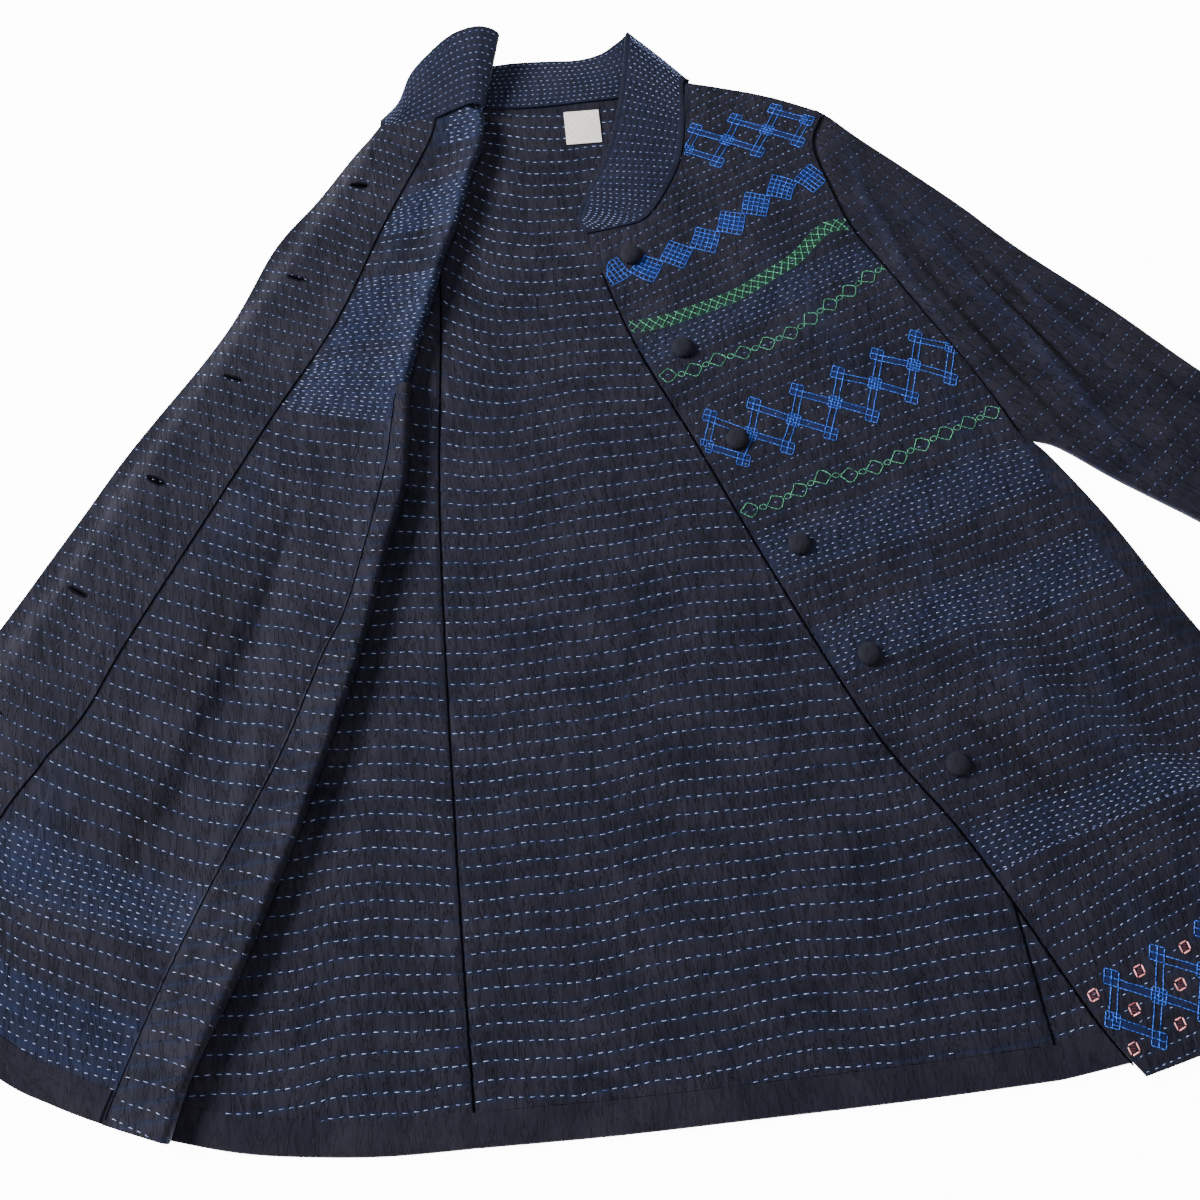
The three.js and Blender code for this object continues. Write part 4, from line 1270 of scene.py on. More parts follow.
def build_front_right():
    """Inside up. Above the underarm it rolls over the crest and down."""
    v, underarm = panel_rows(870)
    inner = between(hem_front_right_line, neck_front_right, right_roll, facing_seam)
    outer = between(hem_facing, neck_facing, facing_seam, front_edge_right)
    up = np.maximum((v - UNDERARM) / (1 - UNDERARM), 0)
    line = roll_above_arm(up)
    roll = with_z(line, right_z(*line.T))
    foot = roll - (0, 0, 2 * CREST_RADIUS)
    right = with_z(unit(crest_above_arm(up) - line), 0)
    over = half_turn(foot, roll, right, CREST_RADIUS, 12)
    flat = np.concatenate([
        inner(shares(150)[None, :], v[:, None]),
        outer(shares(85)[None, 1:], v[:, None]),
    ], 1)
    top = with_z(flat, right_z(flat[..., 0], flat[..., 1]))
    grid = np.concatenate([foot[:, None], over, top], 1)
    keep = np.ones((grid.shape[0] - 1, grid.shape[1] - 1), bool)
    keep[:underarm, :over.shape[1] + 1] = False
    x, y = grid[..., 0], grid[..., 1]
    inner_side = smooth((x - np.interp(y, FACING_EDGE[:, 1], FACING_EDGE[:, 0])) / 8)
    # Blue where rows lie close on the inner side, a painted highlight along the crest, and painted
    # highlight and shade along the folds.
    crest = np.exp(-(np.maximum(crest_x(y) - x, 0) / 18) ** 2)
    blue_and_painted_light = banded(RIGHT.place(x, y)[1], RIGHT_DENSE) * inner_side * 0.3 + 0.2 * crest
    blue_and_painted_light = blue_and_painted_light + painted_fold_light_and_shade(x, y, RIGHT_CREASES, 0.15)
    piece = cloth("front_right_cloth", grid, material("inside"), field=RIGHT, keep=keep,
                  blue_and_painted_light=blue_and_painted_light)
    return finish(piece, "front_right", "quilted_cloth", (0.33, 0.88), 0.178,
                  ["back_side_right_cloth", "sleeve_right_cloth"])


FACING_LIFT = WALL / 2 + 0.05 + BAND_WALL / 2


def build_facing():
    v, _ = panel_rows(870)
    outer = between(hem_facing, neck_facing, facing_seam, front_edge_right)
    xy = outer(shares(85)[None, :], v[:, None])
    grid = with_z(xy, right_z(xy[..., 0], xy[..., 1]) + FACING_LIFT)
    piece = cloth("facing_right_cloth", grid, material("facing"), BAND_WALL, field=FACING)
    return finish(piece, "facing_right", "facing_cloth", (0.11, 0.92), 0.071, ["front_right_cloth"])


def build_sleeve(side, height):
    """A flat tube: lower layer, fold, upper layer and fold, open at both ends."""
    sleeve = SLEEVES[side]
    cuff = lambda t: (sleeve["top"](1.0) * (1 - np.asarray(t)[..., None])
                      + sleeve["under"](1.0) * np.asarray(t)[..., None])
    surface = between(sleeve["mouth"], cuff, sleeve["top"], sleeve["under"])
    along = 0.001 + 0.999 * shares(480)
    xy = surface(shares(230)[None, :], along[:, None])
    gap = xy[:1] - sleeve["mouth"](shares(230))
    xy = xy - gap * (1 - smooth(along * 8))[:, None, None]
    upper = with_z(xy, height(xy[..., 0], xy[..., 1]))
    lower = with_z(xy, np.full(xy.shape[:2], 0.95))
    loops = []
    for edge, other in (("top", "under"), ("under", "top")):
        run = sleeve[edge](along + 0.01) - sleeve[edge](along - 0.01)
        out = unit(np.stack([run[:, 1], -run[:, 0]], -1))
        across = sleeve[edge](along) - sleeve[other](along)
        out *= np.sign((out * across).sum(1))[:, None]
        loops.append(with_z(out, 0))
    grid = np.concatenate([
        lower,
        half_turn(lower[:, -1], upper[:, -1], loops[1], SLEEVE_LOOP / 2),
        upper[:, ::-1],
        half_turn(upper[:, 0], lower[:, 0], loops[0], SLEEVE_LOOP / 2),
    ], 1)
    # Painted highlight along the sleeve's raised folds and painted shade along its hollows.
    blue_and_painted_light = painted_fold_light_and_shade(grid[..., 0], grid[..., 1], SLEEVE_CREASES, 0.22)
    piece = cloth("sleeve_" + side + "_cloth", grid, material("sleeve"), field=SLEEVE, closed=True,
                  blue_and_painted_light=blue_and_painted_light)
    cut = {"left": ((0.44, 0.53), 0.115), "right": ((0.28, 0.53), 0.0723)}
    return finish(piece, "sleeve_" + side, "quilted_cloth", *cut[side], [])


def collar_surface():
    """The collar as share along and share up: straight from its neck seam to its free edge."""
    neck = seam(*(station[0] for station in COLLAR))
    free = seam(*(station[1] for station in COLLAR))
    count = len(COLLAR) - 1

    def station_shares(curve, points):
        fine = np.linspace(0, 1, 1200)
        line = curve(fine)
        found = [0]
        for point in points[1:-1]:
            ahead = np.arange(found[-1] + 1, len(fine))
            found.append(ahead[np.argmin(np.linalg.norm(line[ahead] - point, axis=1)[:260])])
        return np.append(fine[found], 1.0)

    shares_of = {
        "neck": station_shares(neck, [s[0] for s in COLLAR]),
        "free": station_shares(free, [s[1] for s in COLLAR]),
    }

    def at(t, s):
        t, s = np.broadcast_arrays(np.asarray(t, float), np.asarray(s, float))
        k = np.linspace(0, 1, count + 1)
        low = neck(np.interp(t, k, shares_of["neck"]))
        high = free(np.interp(t, k, shares_of["free"]))
        bow = 0.8 * np.sin(math.pi * s)
        return low + (high - low) * s[..., None] + bow[..., None] * (0, 0, 1)
    return at


collar_at = collar_surface()


def build_collar():
    t, s = shares(560, 3.5), shares(54, 4)
    grid = collar_at(t[:, None], s[None, :])
    run = np.concatenate([[0], np.cumsum(np.linalg.norm(np.diff(grid[:, 6], axis=0), axis=1))])
    uv = np.stack(np.broadcast_arrays(run[:, None], s[None, :] * 54), -1)
    blue_and_painted_light = np.full(grid.shape[:2], 0.2)
    piece = cloth("collar_cloth", grid, material("collar"), uv=uv, blue_and_painted_light=blue_and_painted_light)
    return finish(piece, "collar", "quilted_cloth", (0.055, 0.62), 0.031,
                  ["back_center_cloth", "front_left_cloth", "front_right_cloth"])


def hem_grid(curve, inward, z):
    """A band on the panel's own points, moved up to lie on it, with its free edge towards the panel's
    inside.
    """
    s = shares(700, GRID)
    ahead = unit(curve(np.minimum(s + 0.01, 1)) - curve(np.maximum(s - 0.01, 0)))
    normal = np.stack([-ahead[:, 1], ahead[:, 0]], -1) * inward
    t = np.linspace(0, 1, 6)
    xy = curve(s)[:, None] + normal[:, None] * (0.6 + t[None, :, None] * HEM_DEPTH)
    return with_z(xy, z(xy[..., 0], xy[..., 1]) + FACING_LIFT)


def build_hems():
    whole = joined(part(hem_side_right, 0.96, 0),
                   joined(hem_back_line, part(hem_side_left, 0, 0.98), 0.57), 0.25)
    grid = hem_grid(whole, 1, back_z)
    piece = cloth("hem_back_cloth", grid, material("hem"), BAND_WALL, field=BACK)
    finish(piece, "hem_back", "facing_cloth", (0.022, 0.95), None, ["back_center_cloth"], "folded")
    grid = hem_grid(part(hem_front_right_line, 0.02, 0.98), -1, right_z)
    piece = cloth("hem_front_right_cloth", grid, material("hem"), BAND_WALL, field=RIGHT)
    finish(piece, "hem_front_right", "facing_cloth", (0.022, 0.17), None, ["front_right_cloth"],
           "folded")


# ---- stitches on each panel ----

def on(height, lift=WALL / 2):
    return lambda p: with_z(p, height(p[:, 0], p[:, 1]) + lift)


def levels(low, high, spacing):
    return np.arange(low, high, spacing)


CREST_EDGE = points_on(joined(crest_below_arm, crest_above_arm, 0.65), 80)


def build_back_stitches():
    threads = Threads(11)
    seams = [(np.vstack([points_on(princess_right, 200), points_on(princess_left, 200)]), 3.0)]
    running(threads, BACK, back_z, OUTLINES["back"], levels(25, 868, 12.5), (-430, 520), 4.4, 7.3,
            avoid=seams, keep=lambda x, y: y > HEM_DEPTH + 2)
    return threads.build("back_stitches", material("stitches"))


def roll_place(p):
    """Puts points on the right front, and carries those past the roll line over the crest.

    Past the line by d, a point turns by d / R round the roll: x + R sin, z + R cos - R.
    """
    below = crest_below_arm(np.linspace(0, 1, 80)) + (-CREST_RADIUS, 0)
    line = np.vstack([below, roll_above_arm(np.linspace(0, 1, 80))])
    line = line[np.argsort(line[:, 1])]
    edge = np.interp(p[:, 1], line[:, 1], line[:, 0])
    past = np.maximum(p[:, 0] - edge, 0)
    outer = CREST_RADIUS + WALL / 2
    angle = past / outer
    x = np.where(past > 0, edge + outer * np.sin(angle), p[:, 0])
    z = right_z(np.minimum(p[:, 0], edge), p[:, 1]) + WALL / 2
    z = z - np.where(past > 0, outer * (1 - np.cos(angle)), 0)
    return np.stack([x, p[:, 1], z], -1)


def right_region(x, y, low, high):
    r = RIGHT.place(x, y)[1]
    return (r > low) & (r < high)


def build_right_stitches():
    threads = Threads(23)
    wide = ring(backwards(hem_front_right_line), side_seam_right, roll_above_arm,
                neck_front_right, backwards(facing_seam)).copy()
    crest_side = distance_to(wide[:, 0], wide[:, 1], CREST_EDGE)[0] < 60
    above = wide[:, 1] > 596
    wide[crest_side & above & (wide[:, 0] > -200), 0] += 12
    seams = [(points_on(facing_seam, 240), 2.6), (points_on(side_seam_right, 240), 2.4)]
    dense = lambda x, y: np.any([right_region(x, y, a, b) for a, b in RIGHT_DENSE], axis=0)
    running(threads, RIGHT, right_z, wide, levels(96, 880, 12.0), (-600, -60), 4.2, 7.2,
            avoid=seams, keep=lambda x, y: ~dense(x, y), over=roll_place)
    for low, high in RIGHT_DENSE:
        running(threads, RIGHT, right_z, wide, levels(low + 1, high, 4.3), (-600, -60), 3.4, 7.0,
                avoid=seams, over=roll_place)
    strip = ring(crest_below_arm, backwards(side_seam_right))
    running(threads, RIGHT, right_z, strip + (1.5, 0), levels(24, 600, 12.0), (-460, -160), 4.2,
            7.2, avoid=seams, keep=lambda x, y: y < 590, over=roll_place, margin=1.0)
    return threads.build("right_stitches", material("stitches"))


def build_facing_stitches():
    threads = Threads(31)
    running(threads, FACING, right_z, OUTLINES["facing"], levels(148.8, 900, 9.3), (-670, -120), 2.5,
            6.3, lift=FACING_LIFT + BAND_WALL / 2, tone=0.85, margin=2.6)
    return threads.build("facing_stitches", material("stitches"))


def buttons_ring():
    return np.array(BUTTON_PLACES, float)


def motif_points(lines):
    return np.vstack([np.linspace(a, b, max(2, int(np.hypot(*(b - a)) / 2.5)))
                      for line in lines for a, b in zip(line[:-1], line[1:])])


def clip_lines(lines, outline, margin=0.5):
    """Keeps the stretches of lines, cut every 1.5 mm, that lie within an outline."""
    kept = []
    for line in lines:
        run = np.concatenate([[0], np.cumsum(np.linalg.norm(np.diff(line, axis=0), axis=1))])
        s = np.linspace(0, run[-1], max(2, int(run[-1] / 1.5) + 1))
        fine = np.stack([np.interp(s, run, line[:, k]) for k in (0, 1)], -1)
        good = inside(fine[:, 0], fine[:, 1], outline)
        good &= distance_to(fine[:, 0], fine[:, 1], np.vstack([outline, outline[:1]]))[0] > margin
        for number in BUTTON_PLACES:
            good &= np.hypot(*(fine - number).T) > size("button_radius") + 0.5
        starts = np.flatnonzero(good & ~np.concatenate([[False], good[:-1]]))
        ends = np.flatnonzero(good & ~np.concatenate([good[1:], [False]]))
        kept += [fine[a:b + 1] for a, b in zip(starts, ends) if b > a]
    return kept


def embroidery():
    """The left front's bands: lines by colour, and the ground under each as (start, end, width)."""
    lines = {"blue": [], "green": [], "pink": []}
    ground = {"blue": [], "green": [], "pink": []}

    def bent(band, start, end):
        return along_band(band, [np.array((start, end), float)])[0][(0, -1), :]

    for centre in np.arange(NET["first"], DIAMOND_BAND.length + 10, NET["pitch"]):
        net = netted_diamond(NET["half"], NET["cells"], NET["turn"])
        lines["blue"] += along_band(DIAMOND_BAND, [line + (centre, 0) for line in net])
        reach = NET["half"] * NET["ground"]
        ends = bent(DIAMOND_BAND, (centre - reach * 0.777, -reach * 0.629),
                    (centre + reach * 0.777, reach * 0.629))
        ground["blue"].append((*ends, 2 * reach))
    width, span = LATTICE["half_width"], LATTICE["span"]
    for start in np.arange(LATTICE["first"], LATTICE_BAND.length, LATTICE["pitch"]):
        for a, b in ((-width, width), (width, -width)):
            lines["green"] += along_band(LATTICE_BAND, [np.array(((start, a), (start + span, b)))])
        ground["green"].append((*bent(LATTICE_BAND, (start, 0), (start + LATTICE["ground_run"], 0)),
                                2 * width - 1))
    for band in (CHAIN_UPPER, CHAIN_LOWER):
        for centre in np.arange(CHAIN["first"], band.length, CHAIN["pitch"]):
            lines["green"] += along_band(band, [
                diamond(*CHAIN["large"]) + (centre, 0),
                diamond(*CHAIN["small"]) + (centre + CHAIN["to_small"], 0)])
    diamonds = []
    for band in BAR_BANDS:
        made, under = crossed_bars(band["line"], band["width"])
        lines["blue"] += made
        ground["blue"] += under
        if band["diamonds"]:
            diamonds += [on_line(band["line"], start, offset)
                         for start in np.arange(0, band["line"].length, BAR_REPEAT["pitch"])
                         for offset in DIAMOND_REPEAT]
    for centre in diamonds:
        corners = diamond(*SMALL_DIAMOND["half"], SMALL_DIAMOND["turn"]) + centre
        lines["pink"] += [corners[k:k + 2] for k in range(4)]
        reach = np.array(SMALL_DIAMOND["ground"])
        ground["pink"].append((centre - reach, centre + reach, SMALL_DIAMOND["wide"]))
    clipped = {colour: clip_lines(made, OUTLINES["left"]) for colour, made in lines.items()}
    return clipped, ground


def build_left_stitches():
    threads = Threads(47)
    lines, _ = embroidery()
    motifs = motif_points(lines["blue"] + lines["green"] + lines["pink"])
    avoid = [(motifs, 2.4), (buttons_ring(), size("button_radius") + 1.2)]
    region = lambda x, y: LEFT.place(x, y)[1]

    def dense(x, y):
        r = region(x, y)
        return np.any([(r > a) & (r < b) for a, b in DENSE_LEFT], axis=0)

    running(threads, LEFT, left_z, OUTLINES["left"], levels(-186, 900, 9.3), (-30, 520), 2.8, 6.2,
            avoid=avoid, keep=lambda x, y: ~dense(x, y), tone=0.9)
    for low, high in DENSE_LEFT:
        running(threads, LEFT, left_z, OUTLINES["left"], levels(low + 1, high, 4.4), (-30, 520),
                3.2, 6.8, avoid=avoid, tone=1.0)
    return threads.build("left_stitches", material("stitches"))


def build_embroidery():
    """Lines of touching stitches over a thin ground of darker thread, in three colours; the dark ground
    is partly painted shade between the lines.
    """
    lines, ground = embroidery()
    place = on(left_z)
    for seed, (colour, step, width) in enumerate(
            (("blue", 3.4, 1.1), ("green", 3.4, 0.95), ("pink", 7.0, 1.9))):
        threads = Threads(60 + seed)
        drawn(threads, lines[colour], place, step=step, width=width, gap=-0.1)
        for start, end, wide in ground[colour]:
            patch = np.array((start, end))
            x, y = patch.mean(0)
            reach = distance_to(x, y, OUTLINES["left"])[0]
            clear = min(math.hypot(x - a, y - b) for a, b in BUTTON_PLACES)
            if not inside(x, y, OUTLINES["left"]) or reach < wide / 2 + 1.5 or clear < 14:
                continue
            count = max(2, round(wide / 1.3))
            run = end - start
            side = unit(np.array((-run[1], run[0])))
            offs = (np.linspace(-0.5, 0.5, count) * (wide - 0.8))[:, None] * side
            # Ground of darker thread, partly painted shade between the raised lines.
            threads.add(place(start + offs), place(end + offs), 0.05, 1.35, 0.12)
        threads.build(colour + "_embroidery", material(colour))


def build_sleeve_stitches():
    threads = Threads(71)
    running(threads, SLEEVE, sleeve_z, OUTLINES["sleeve"], levels(-126, 420, 12.6), (-160, 260),
            2.7, 7.0, tone=0.62, margin=1.5, width=0.75)
    return threads.build("sleeve_stitches", material("stitches"))


def build_collar_stitches():
    """Rows 5 mm apart along the collar, and up it on its left part."""
    threads = Threads(83)
    fold = COLLAR_FOLDS["left"] / (len(COLLAR) - 1)
    starts, ends = [], []

    def lay(path_t, path_s, first):
        line = collar_at(path_t, path_s)
        run = np.concatenate([[0], np.cumsum(np.linalg.norm(np.diff(line, axis=0), axis=1))])
        at = np.arange(first, run[-1] - 3, 5.6)
        at = at + threads.random.uniform(-0.4, 0.4, len(at))
        for store, s in ((starts, at), (ends, at + 2.6)):
            store.append(np.stack([np.interp(s, run, line[:, k]) for k in range(3)], -1))

    for k, s in enumerate(np.linspace(0.06, 0.94, 10)):
        t = np.linspace(0.01, fold, 500)
        lay(t, np.full(t.shape, s), (k % 2) * 2.8 + 1)
    for k, t in enumerate(np.linspace(fold, 0.985, 42)):
        s = np.linspace(0.05, 0.95, 60)
        lay(np.full(s.shape, t), s, (k % 2) * 2.8 + 1)
    start, end = np.vstack(starts), np.vstack(ends)
    up = np.array((0, 0, WALL / 2))
    threads.add(start + up, end + up, 0.75, 0.8, 0.5)
    return threads.build("collar_stitches", material("stitches"))


def build_seams_and_painted_shadows():
    """The dark thread that sinks between two panels, along each seam that shows; besides these, dark
    lines painted as shadow under the left front's edge, in the gaps along the neck and where the collar
    turns at the left shoulder.
    """
    threads = Threads(101)
    wrapped = lambda p: roll_place(p) - (0, 0, 0.05)
    hem_line = hem_back_line(np.linspace(0.02, 0.98, 120)) + (0, HEM_DEPTH + 0.8)
    for line, place, width in (
            (princess_right(np.linspace(0.005, 0.995, 300)), on(back_z, WALL / 2 + 0.5), 2.0),
            (princess_left(np.linspace(0.005, 0.995, 300)), on(back_z, WALL / 2 + 0.5), 2.0),
            (hem_line, on(back_z, WALL / 2), 0.9),
            (facing_seam(np.linspace(0.005, 0.985, 300)), on(right_z, WALL / 2 + 0.15), 1.7),
            (side_seam_right(np.linspace(0.005, 0.985, 240)), wrapped, 1.7),
            (armhole_left(np.linspace(0.01, 0.99, 200)), on(left_z, WALL / 2 + 0.3), 1.8),
            (shoulder_front_left(np.linspace(0.02, 0.98, 60)), on(left_z, WALL / 2), 1.2),
            # Painted shadow under the left front's edge.
            (front_edge_left(np.linspace(0.012, 0.95, 260)) - (1.0, 0.4),
             on(back_z, WALL / 2 + 1.3), 2.0),
            # Painted shadow in the gaps along the neck seams.
            (neck_front_right(np.linspace(0, 1, 30)) + (0, 1), on(right_z, WALL / 2), 4.0),
            (neck_facing(np.linspace(0, 1, 30)) + (0, 1), on(right_z, WALL / 2), 4.0),
            # Painted shade in the gap where the collar turns at the left shoulder.
            (np.array(((92, 868), (101, 884))), on(left_z, WALL / 2 - 0.6), 5.0)):
        drawn(threads, [line], place, step=4.0, tone=0.12, width=width, gap=-0.25)
    return threads.build("seams_and_painted_shadows", material("dark"))


# ---- buttons, buttonholes and label ----

def build_buttons():
    """Covered domes: cloth drawn over a form, with small gathers round the rim."""
    rings, sides = 14, 64
    turn = np.linspace(0, 2 * math.pi, sides, endpoint=False)[None, :]
    t = np.linspace(0, 1, rings)[:, None]
    for number, (x, y) in enumerate(BUTTON_PLACES):
        angle = t * math.pi / 2
        gather = 0.28 * np.sin(turn * 17 + number) * (1 - t) ** 2
        radius = (size("button_radius") + gather) * np.cos(angle) ** 0.8
        height = 1.2 + (size("button_height") - 1.2) * np.sin(angle) ** 1.15
        dome = np.stack([radius * np.cos(turn), radius * np.sin(turn),
                         np.broadcast_to(height, radius.shape)], -1)[:-1]
        foot = dome[0] * (0.9, 0.9, 0)
        top = np.array(((0, 0, size("button_height")),))
        base = np.array(((0, 0, 0),))
        points = np.vstack([foot, dome.reshape(-1, 3), top, base])
        index = np.arange(rings * sides).reshape(rings, sides)
        nxt = np.roll(index, -1, 1)
        quads = np.stack([index[:-1], nxt[:-1], nxt[1:], index[1:]], -1).reshape(-1, 4)
        tip, low = rings * sides, rings * sides + 1
        caps = np.vstack([
            np.stack([index[-1], nxt[-1], np.full(sides, tip)], -1),
            np.stack([nxt[0], index[0], np.full(sides, low)], -1),
        ])
        lift = left_z(np.array(float(x)), np.array(float(y))) + WALL / 2
        place = points + (x, y, float(lift))
        uv = points[:, :2] / 1000
        piece = new_object(f"button_{number + 1}.cover", to_metres(place), [quads, caps],
                           material("button"), uv=uv, sharp=60)
        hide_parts(f"button_{number + 1}")


def build_buttonholes():
    """Thread worked round a slit, and a dark sheet between its lips, painted as the shade in the open
    slit.
    """
    threads = Threads(97)
    slits = []
    v = 1 - (BUTTONHOLE["first"] + np.arange(BUTTONHOLE["count"]) * BUTTONHOLE["pitch"]) / \
        front_edge_right.length
    outer = between(hem_facing, neck_facing, facing_seam, front_edge_right)
    centres = outer(np.full(v.shape, BUTTONHOLE["across"]), v)
    beyond = outer(np.full(v.shape, BUTTONHOLE["across"] + 0.1), v)
    starts, ends = [], []
    for number, (centre, ahead) in enumerate(zip(centres, unit(beyond - centres))):
        normal = np.array((-ahead[1], ahead[0]))
        gape = 2.3 if number in (0, 3) else 1.3
        t = np.linspace(-1, 1, 21)
        half = gape * (1 - t ** 2) ** 0.7
        run = ahead * size("buttonhole_length") / 2
        upper = centre + run * t[:, None] + normal * half[:, None]
        lower = centre + run * t[:, None] - normal * half[:, None]
        slits.append((upper, lower))
        for side, line in ((1, upper), (-1, lower)):
            starts.append(line + normal * side * 0.1)
            ends.append(line + normal * side * 1.5)
    start, end = np.vstack(starts), np.vstack(ends)
    place = on(right_z, FACING_LIFT + BAND_WALL / 2)
    threads.add(place(start), place(end), 0.8, 0.9, 0.45)
    threads.build("buttonhole_threads", material("dark"))
    # A dark sheet painted as the shade inside each slit.
    vertices, faces = [], []
    for upper, lower in slits:
        base = sum(len(v) for v in vertices)
        top = np.vstack([place(upper), place(lower)]) + (0, 0, 0.12)
        vertices += [top, top - (0, 0, 0.4)]
        n = len(upper)
        i = np.arange(n - 1)
        top_faces = np.stack([i + n, i + n + 1, i + 1, i], -1)
        side_a = np.stack([i, i + 1, i + 1 + 2 * n, i + 2 * n], -1)
        side_b = np.stack([i + n + 1, i + n, i + 3 * n, i + 3 * n + 1], -1)
        ends_ = np.array(((0, 2 * n, 3 * n, n), (n - 1, 2 * n - 1, 4 * n - 1, 3 * n - 1)))
        faces.append(np.vstack([top_faces, top_faces[:, ::-1] + 2 * n, side_a, side_b,
                                ends_]) + base)
    vertices = np.vstack(vertices)
    tone = np.zeros(len(vertices))
    return new_object("buttonhole_slit_painted_shade", to_metres(vertices), [np.vstack(faces)],
                      material("dark"), tone=tone, sharp=0)


def build_label():
    """A blank tape, held at its corners, that lifts a little between them."""
    u = np.linspace(-0.5, 0.5, 17)[None, :]
    v = np.linspace(-0.5, 0.5, 17)[:, None]
    c, s = math.cos(LABEL["turn"]), math.sin(LABEL["turn"])
    x = LABEL["x"] + u * size("label_width") * c - v * size("label_height") * s
    y = LABEL["y"] + u * size("label_width") * s + v * size("label_height") * c
    lift = 0.5 * np.cos(math.pi * u) * np.cos(math.pi * v) + 0.4
    z = back_z(x, y) + WALL / 2 + BAND_WALL / 2 + lift
    piece = cloth("label_tape", np.stack([x, y, z], -1), material("tape"), 0.5,
                  uv=np.stack(np.broadcast_arrays(u * size("label_width"), v * size("label_height")), -1))
    return finish(piece, "label", "label_tape", (0.032, 0.036), None, ["back_center_cloth"])


# ---- stage ----

def build_stage():
    floor = new_object("floor", np.array(((-4, -4, 0), (4, -4, 0), (4, 4, 0), (-4, 4, 0)), float),
                       [np.array(((0, 1, 2, 3),))], material("floor"), sharp=0)
    floor.parent = None
    world = bpy.data.worlds.new("soft room")
    bpy.context.scene.world = world
    world.use_nodes = True
    world.node_tree.nodes["Background"].inputs["Color"].default_value = (1, 1, 1, 1)
    world.node_tree.nodes["Background"].inputs["Strength"].default_value = 0.26
    for name, place, size, power in (("window", (-2.9, 1.6, 1.75), 1.0, 400),
                                     ("high softbox", (0.3, -0.4, 2.4), 1.8, 34)):
        light = bpy.data.lights.new(name, "AREA")
        light.size = size
        light.energy = power
        lamp = bpy.data.objects.new(name, light)
        bpy.context.scene.collection.objects.link(lamp)
        lamp.location = place
        aim = -np.array(place)
        lamp.rotation_euler = (
            math.atan2(math.hypot(aim[0], aim[1]), -aim[2]), 0,
            math.atan2(aim[1], aim[0]) - math.pi / 2)
    camera = bpy.data.cameras.new("camera")
    camera.sensor_fit = "HORIZONTAL"
    camera.sensor_width = 36
    camera.lens = 36.06
    camera.clip_start = 0.01
    seat = bpy.data.objects.new("camera", camera)
    bpy.context.scene.collection.objects.link(seat)
    right = np.array((0.9893, -0.1456, 0.0))
    right /= np.linalg.norm(right)
    ahead = np.array((0.0474, 0.3221, -0.9455))
    ahead /= np.linalg.norm(ahead)
    up = np.cross(right, ahead)
    turn = Matrix((right, up, -ahead)).transposed().to_4x4()
    turn.translation = (-0.0988, -0.3443, 0.900)
    seat.matrix_world = turn
    bpy.context.scene.camera = seat


# ---- add-on ----

class CoatSettings(bpy.types.PropertyGroup):
    """Sizes and colours that a user would change."""
    button_radius: FloatProperty(name="Button radius", description="Half the width of a button",
                                 default=0.0095, min=0.005, max=0.015, unit="LENGTH", precision=4)
    button_height: FloatProperty(name="Button height", description="How far a button stands up",
                                 default=0.0056, min=0.003, max=0.010, unit="LENGTH", precision=4)
    buttonhole_length: FloatProperty(name="Buttonhole", description="Length of a buttonhole's slit",
                                     default=0.017, min=0.010, max=0.030, unit="LENGTH",
                                     precision=4)
    label_width: FloatProperty(name="Label width", description="Width of the neck label",
                               default=0.032, min=0.010, max=0.060, unit="LENGTH", precision=4)
    label_height: FloatProperty(name="Label height", description="Height of the neck label",
                                default=0.036, min=0.010, max=0.060, unit="LENGTH", precision=4)
    cloth: FloatVectorProperty(name="Cloth", description="Colour of the quilted cotton",
                               subtype="COLOR", default=(0.0062, 0.0066, 0.0125), min=0, max=1)
    worn: FloatVectorProperty(name="Worn cloth", description="Cloth where its nap is raised",
                              subtype="COLOR", default=(0.0185, 0.0172, 0.0265), min=0, max=1)
    button: FloatVectorProperty(name="Buttons", description="Cloth over the buttons",
                                subtype="COLOR", default=(0.011, 0.012, 0.018), min=0, max=1)
    stitch_deep: FloatVectorProperty(name="Stitch, deep", description="Ends of running stitches",
                                     subtype="COLOR", default=(0.018, 0.045, 0.20), min=0, max=1)
    stitch_pale: FloatVectorProperty(name="Stitch, pale", description="Crowns of the stitches",
                                     subtype="COLOR", default=(0.27, 0.33, 0.56), min=0, max=1)
    blue: FloatVectorProperty(name="Blue", description="Blue embroidery thread",
                              subtype="COLOR", default=(0.030, 0.115, 0.58), min=0, max=1)
    green: FloatVectorProperty(name="Green", description="Green embroidery thread",
                               subtype="COLOR", default=(0.085, 0.34, 0.19), min=0, max=1)
    pink: FloatVectorProperty(name="Pink", description="Pink embroidery thread",
                              subtype="COLOR", default=(0.85, 0.32, 0.34), min=0, max=1)


class COAT_OT_stage(bpy.types.Operator):
    """Sets the floor, the lights and the camera."""
    bl_idname = "coat.stage"
    bl_label = "Floor, lights and camera"

    def execute(self, context):
        build_stage()
        return {"FINISHED"}


class COAT_OT_back(bpy.types.Operator):
    """Builds the three back panels."""
    bl_idname = "coat.back"
    bl_label = "Back"

    def execute(self, context):
        build_back_centre()
        build_back_side_left()
        build_back_side_right()
        return {"FINISHED"}


class COAT_OT_fronts(bpy.types.Operator):
    """Builds both fronts and the right facing."""
    bl_idname = "coat.fronts"
    bl_label = "Fronts"

    def execute(self, context):
        build_front_left()
        build_front_right()
        build_facing()
        return {"FINISHED"}


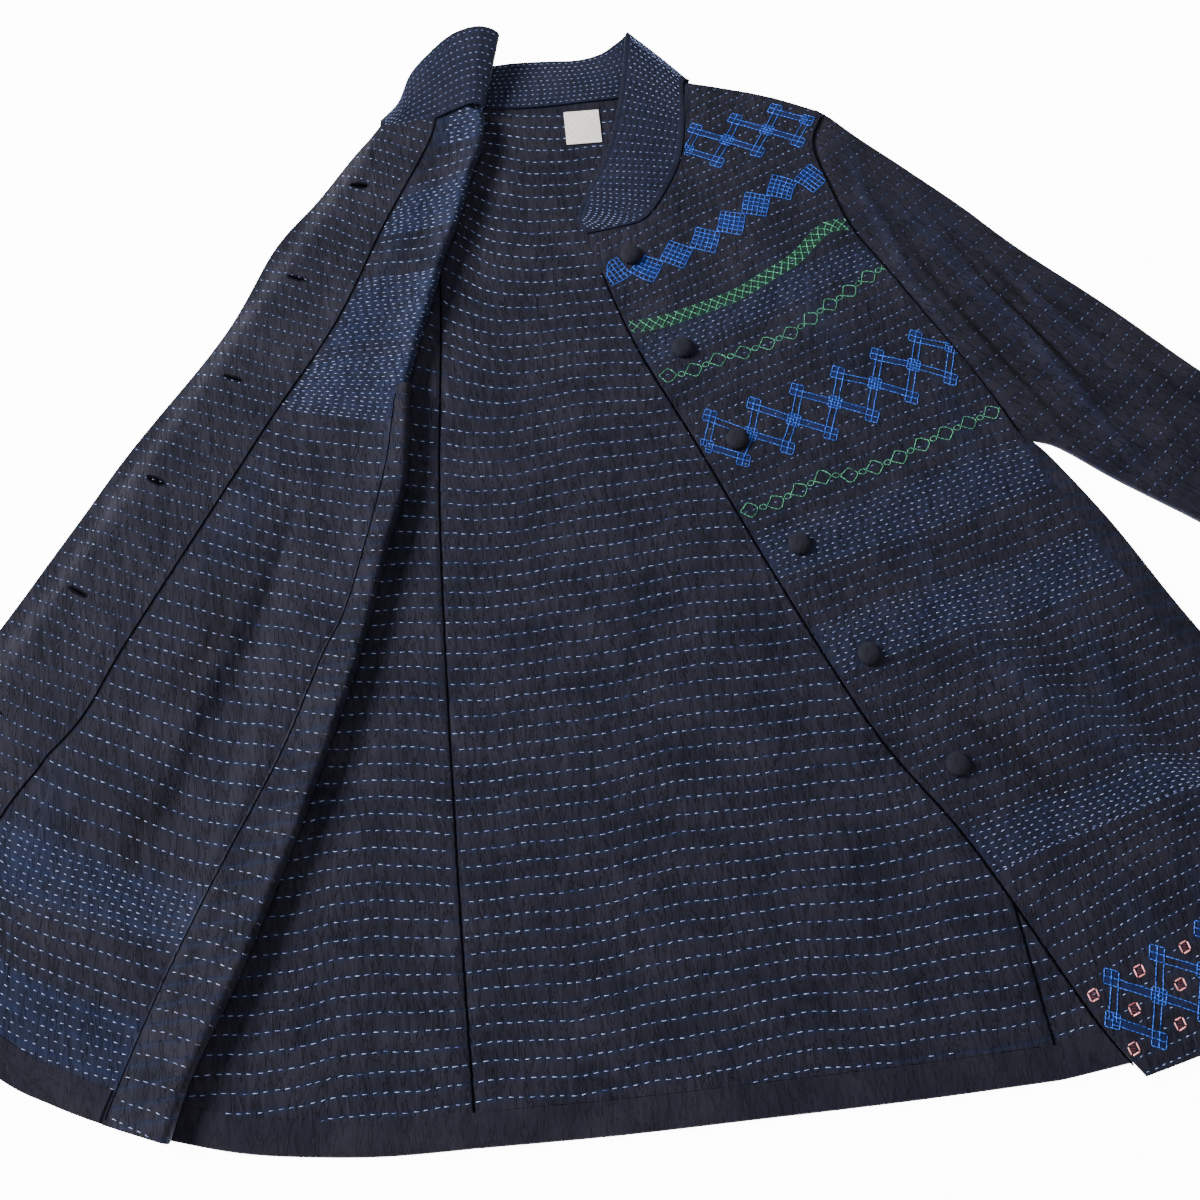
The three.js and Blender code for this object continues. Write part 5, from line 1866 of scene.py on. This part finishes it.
class COAT_OT_sleeves(bpy.types.Operator):
    """Builds both sleeves."""
    bl_idname = "coat.sleeves"
    bl_label = "Sleeves"

    def execute(self, context):
        build_sleeve("left", sleeve_z)
        build_sleeve("right", lambda x, y: np.full(x.shape, HIDDEN_SLEEVE_Z))
        return {"FINISHED"}


class COAT_OT_collar(bpy.types.Operator):
    """Builds the stand collar."""
    bl_idname = "coat.collar"
    bl_label = "Collar"

    def execute(self, context):
        build_collar()
        return {"FINISHED"}


class COAT_OT_hems(bpy.types.Operator):
    """Builds the turned-up hems."""
    bl_idname = "coat.hems"
    bl_label = "Hems"

    def execute(self, context):
        build_hems()
        return {"FINISHED"}


class COAT_OT_stitches(bpy.types.Operator):
    """Stitches every panel that shows, the seams between them, and a few dark lines painted as shadow in
    gaps.
    """
    bl_idname = "coat.stitches"
    bl_label = "Running stitches"

    def execute(self, context):
        build_back_stitches()
        build_right_stitches()
        build_facing_stitches()
        build_left_stitches()
        build_sleeve_stitches()
        build_collar_stitches()
        build_seams_and_painted_shadows()
        return {"FINISHED"}


class COAT_OT_embroidery(bpy.types.Operator):
    """Works the bands of the left front."""
    bl_idname = "coat.embroidery"
    bl_label = "Embroidery"

    def execute(self, context):
        build_embroidery()
        return {"FINISHED"}


class COAT_OT_buttons(bpy.types.Operator):
    """Builds the buttons and the buttonholes."""
    bl_idname = "coat.buttons"
    bl_label = "Buttons"

    def execute(self, context):
        build_buttons()
        build_buttonholes()
        return {"FINISHED"}


class COAT_OT_label(bpy.types.Operator):
    """Builds the blank neck label."""
    bl_idname = "coat.label"
    bl_label = "Label"

    def execute(self, context):
        build_label()
        return {"FINISHED"}


STEPS = (
    COAT_OT_stage,
    COAT_OT_back,
    COAT_OT_fronts,
    COAT_OT_sleeves,
    COAT_OT_collar,
    COAT_OT_hems,
    COAT_OT_stitches,
    COAT_OT_embroidery,
    COAT_OT_buttons,
    COAT_OT_label,
)


class COAT_PT_panel(bpy.types.Panel):
    """Lists the coat's steps and colours in the sidebar."""
    bl_label = "Coat"
    bl_space_type = "VIEW_3D"
    bl_region_type = "UI"
    bl_category = "Coat"

    def draw(self, context):
        for made in STEPS:
            self.layout.operator(made.bl_idname)
        for name in CoatSettings.__annotations__:
            self.layout.prop(context.scene.coat_settings, name)


CLASSES = (CoatSettings, *STEPS, COAT_PT_panel)


def register():
    for made in CLASSES:
        bpy.utils.register_class(made)
    bpy.types.Scene.coat_settings = PointerProperty(type=CoatSettings)


def unregister():
    del bpy.types.Scene.coat_settings
    for made in reversed(CLASSES):
        bpy.utils.unregister_class(made)


def main():
    register()
    for made in STEPS:
        group, name = made.bl_idname.split(".")
        getattr(getattr(bpy.ops, group), name)()
    bpy.context.view_layer.update()


if __name__ == "__main__":
    main()
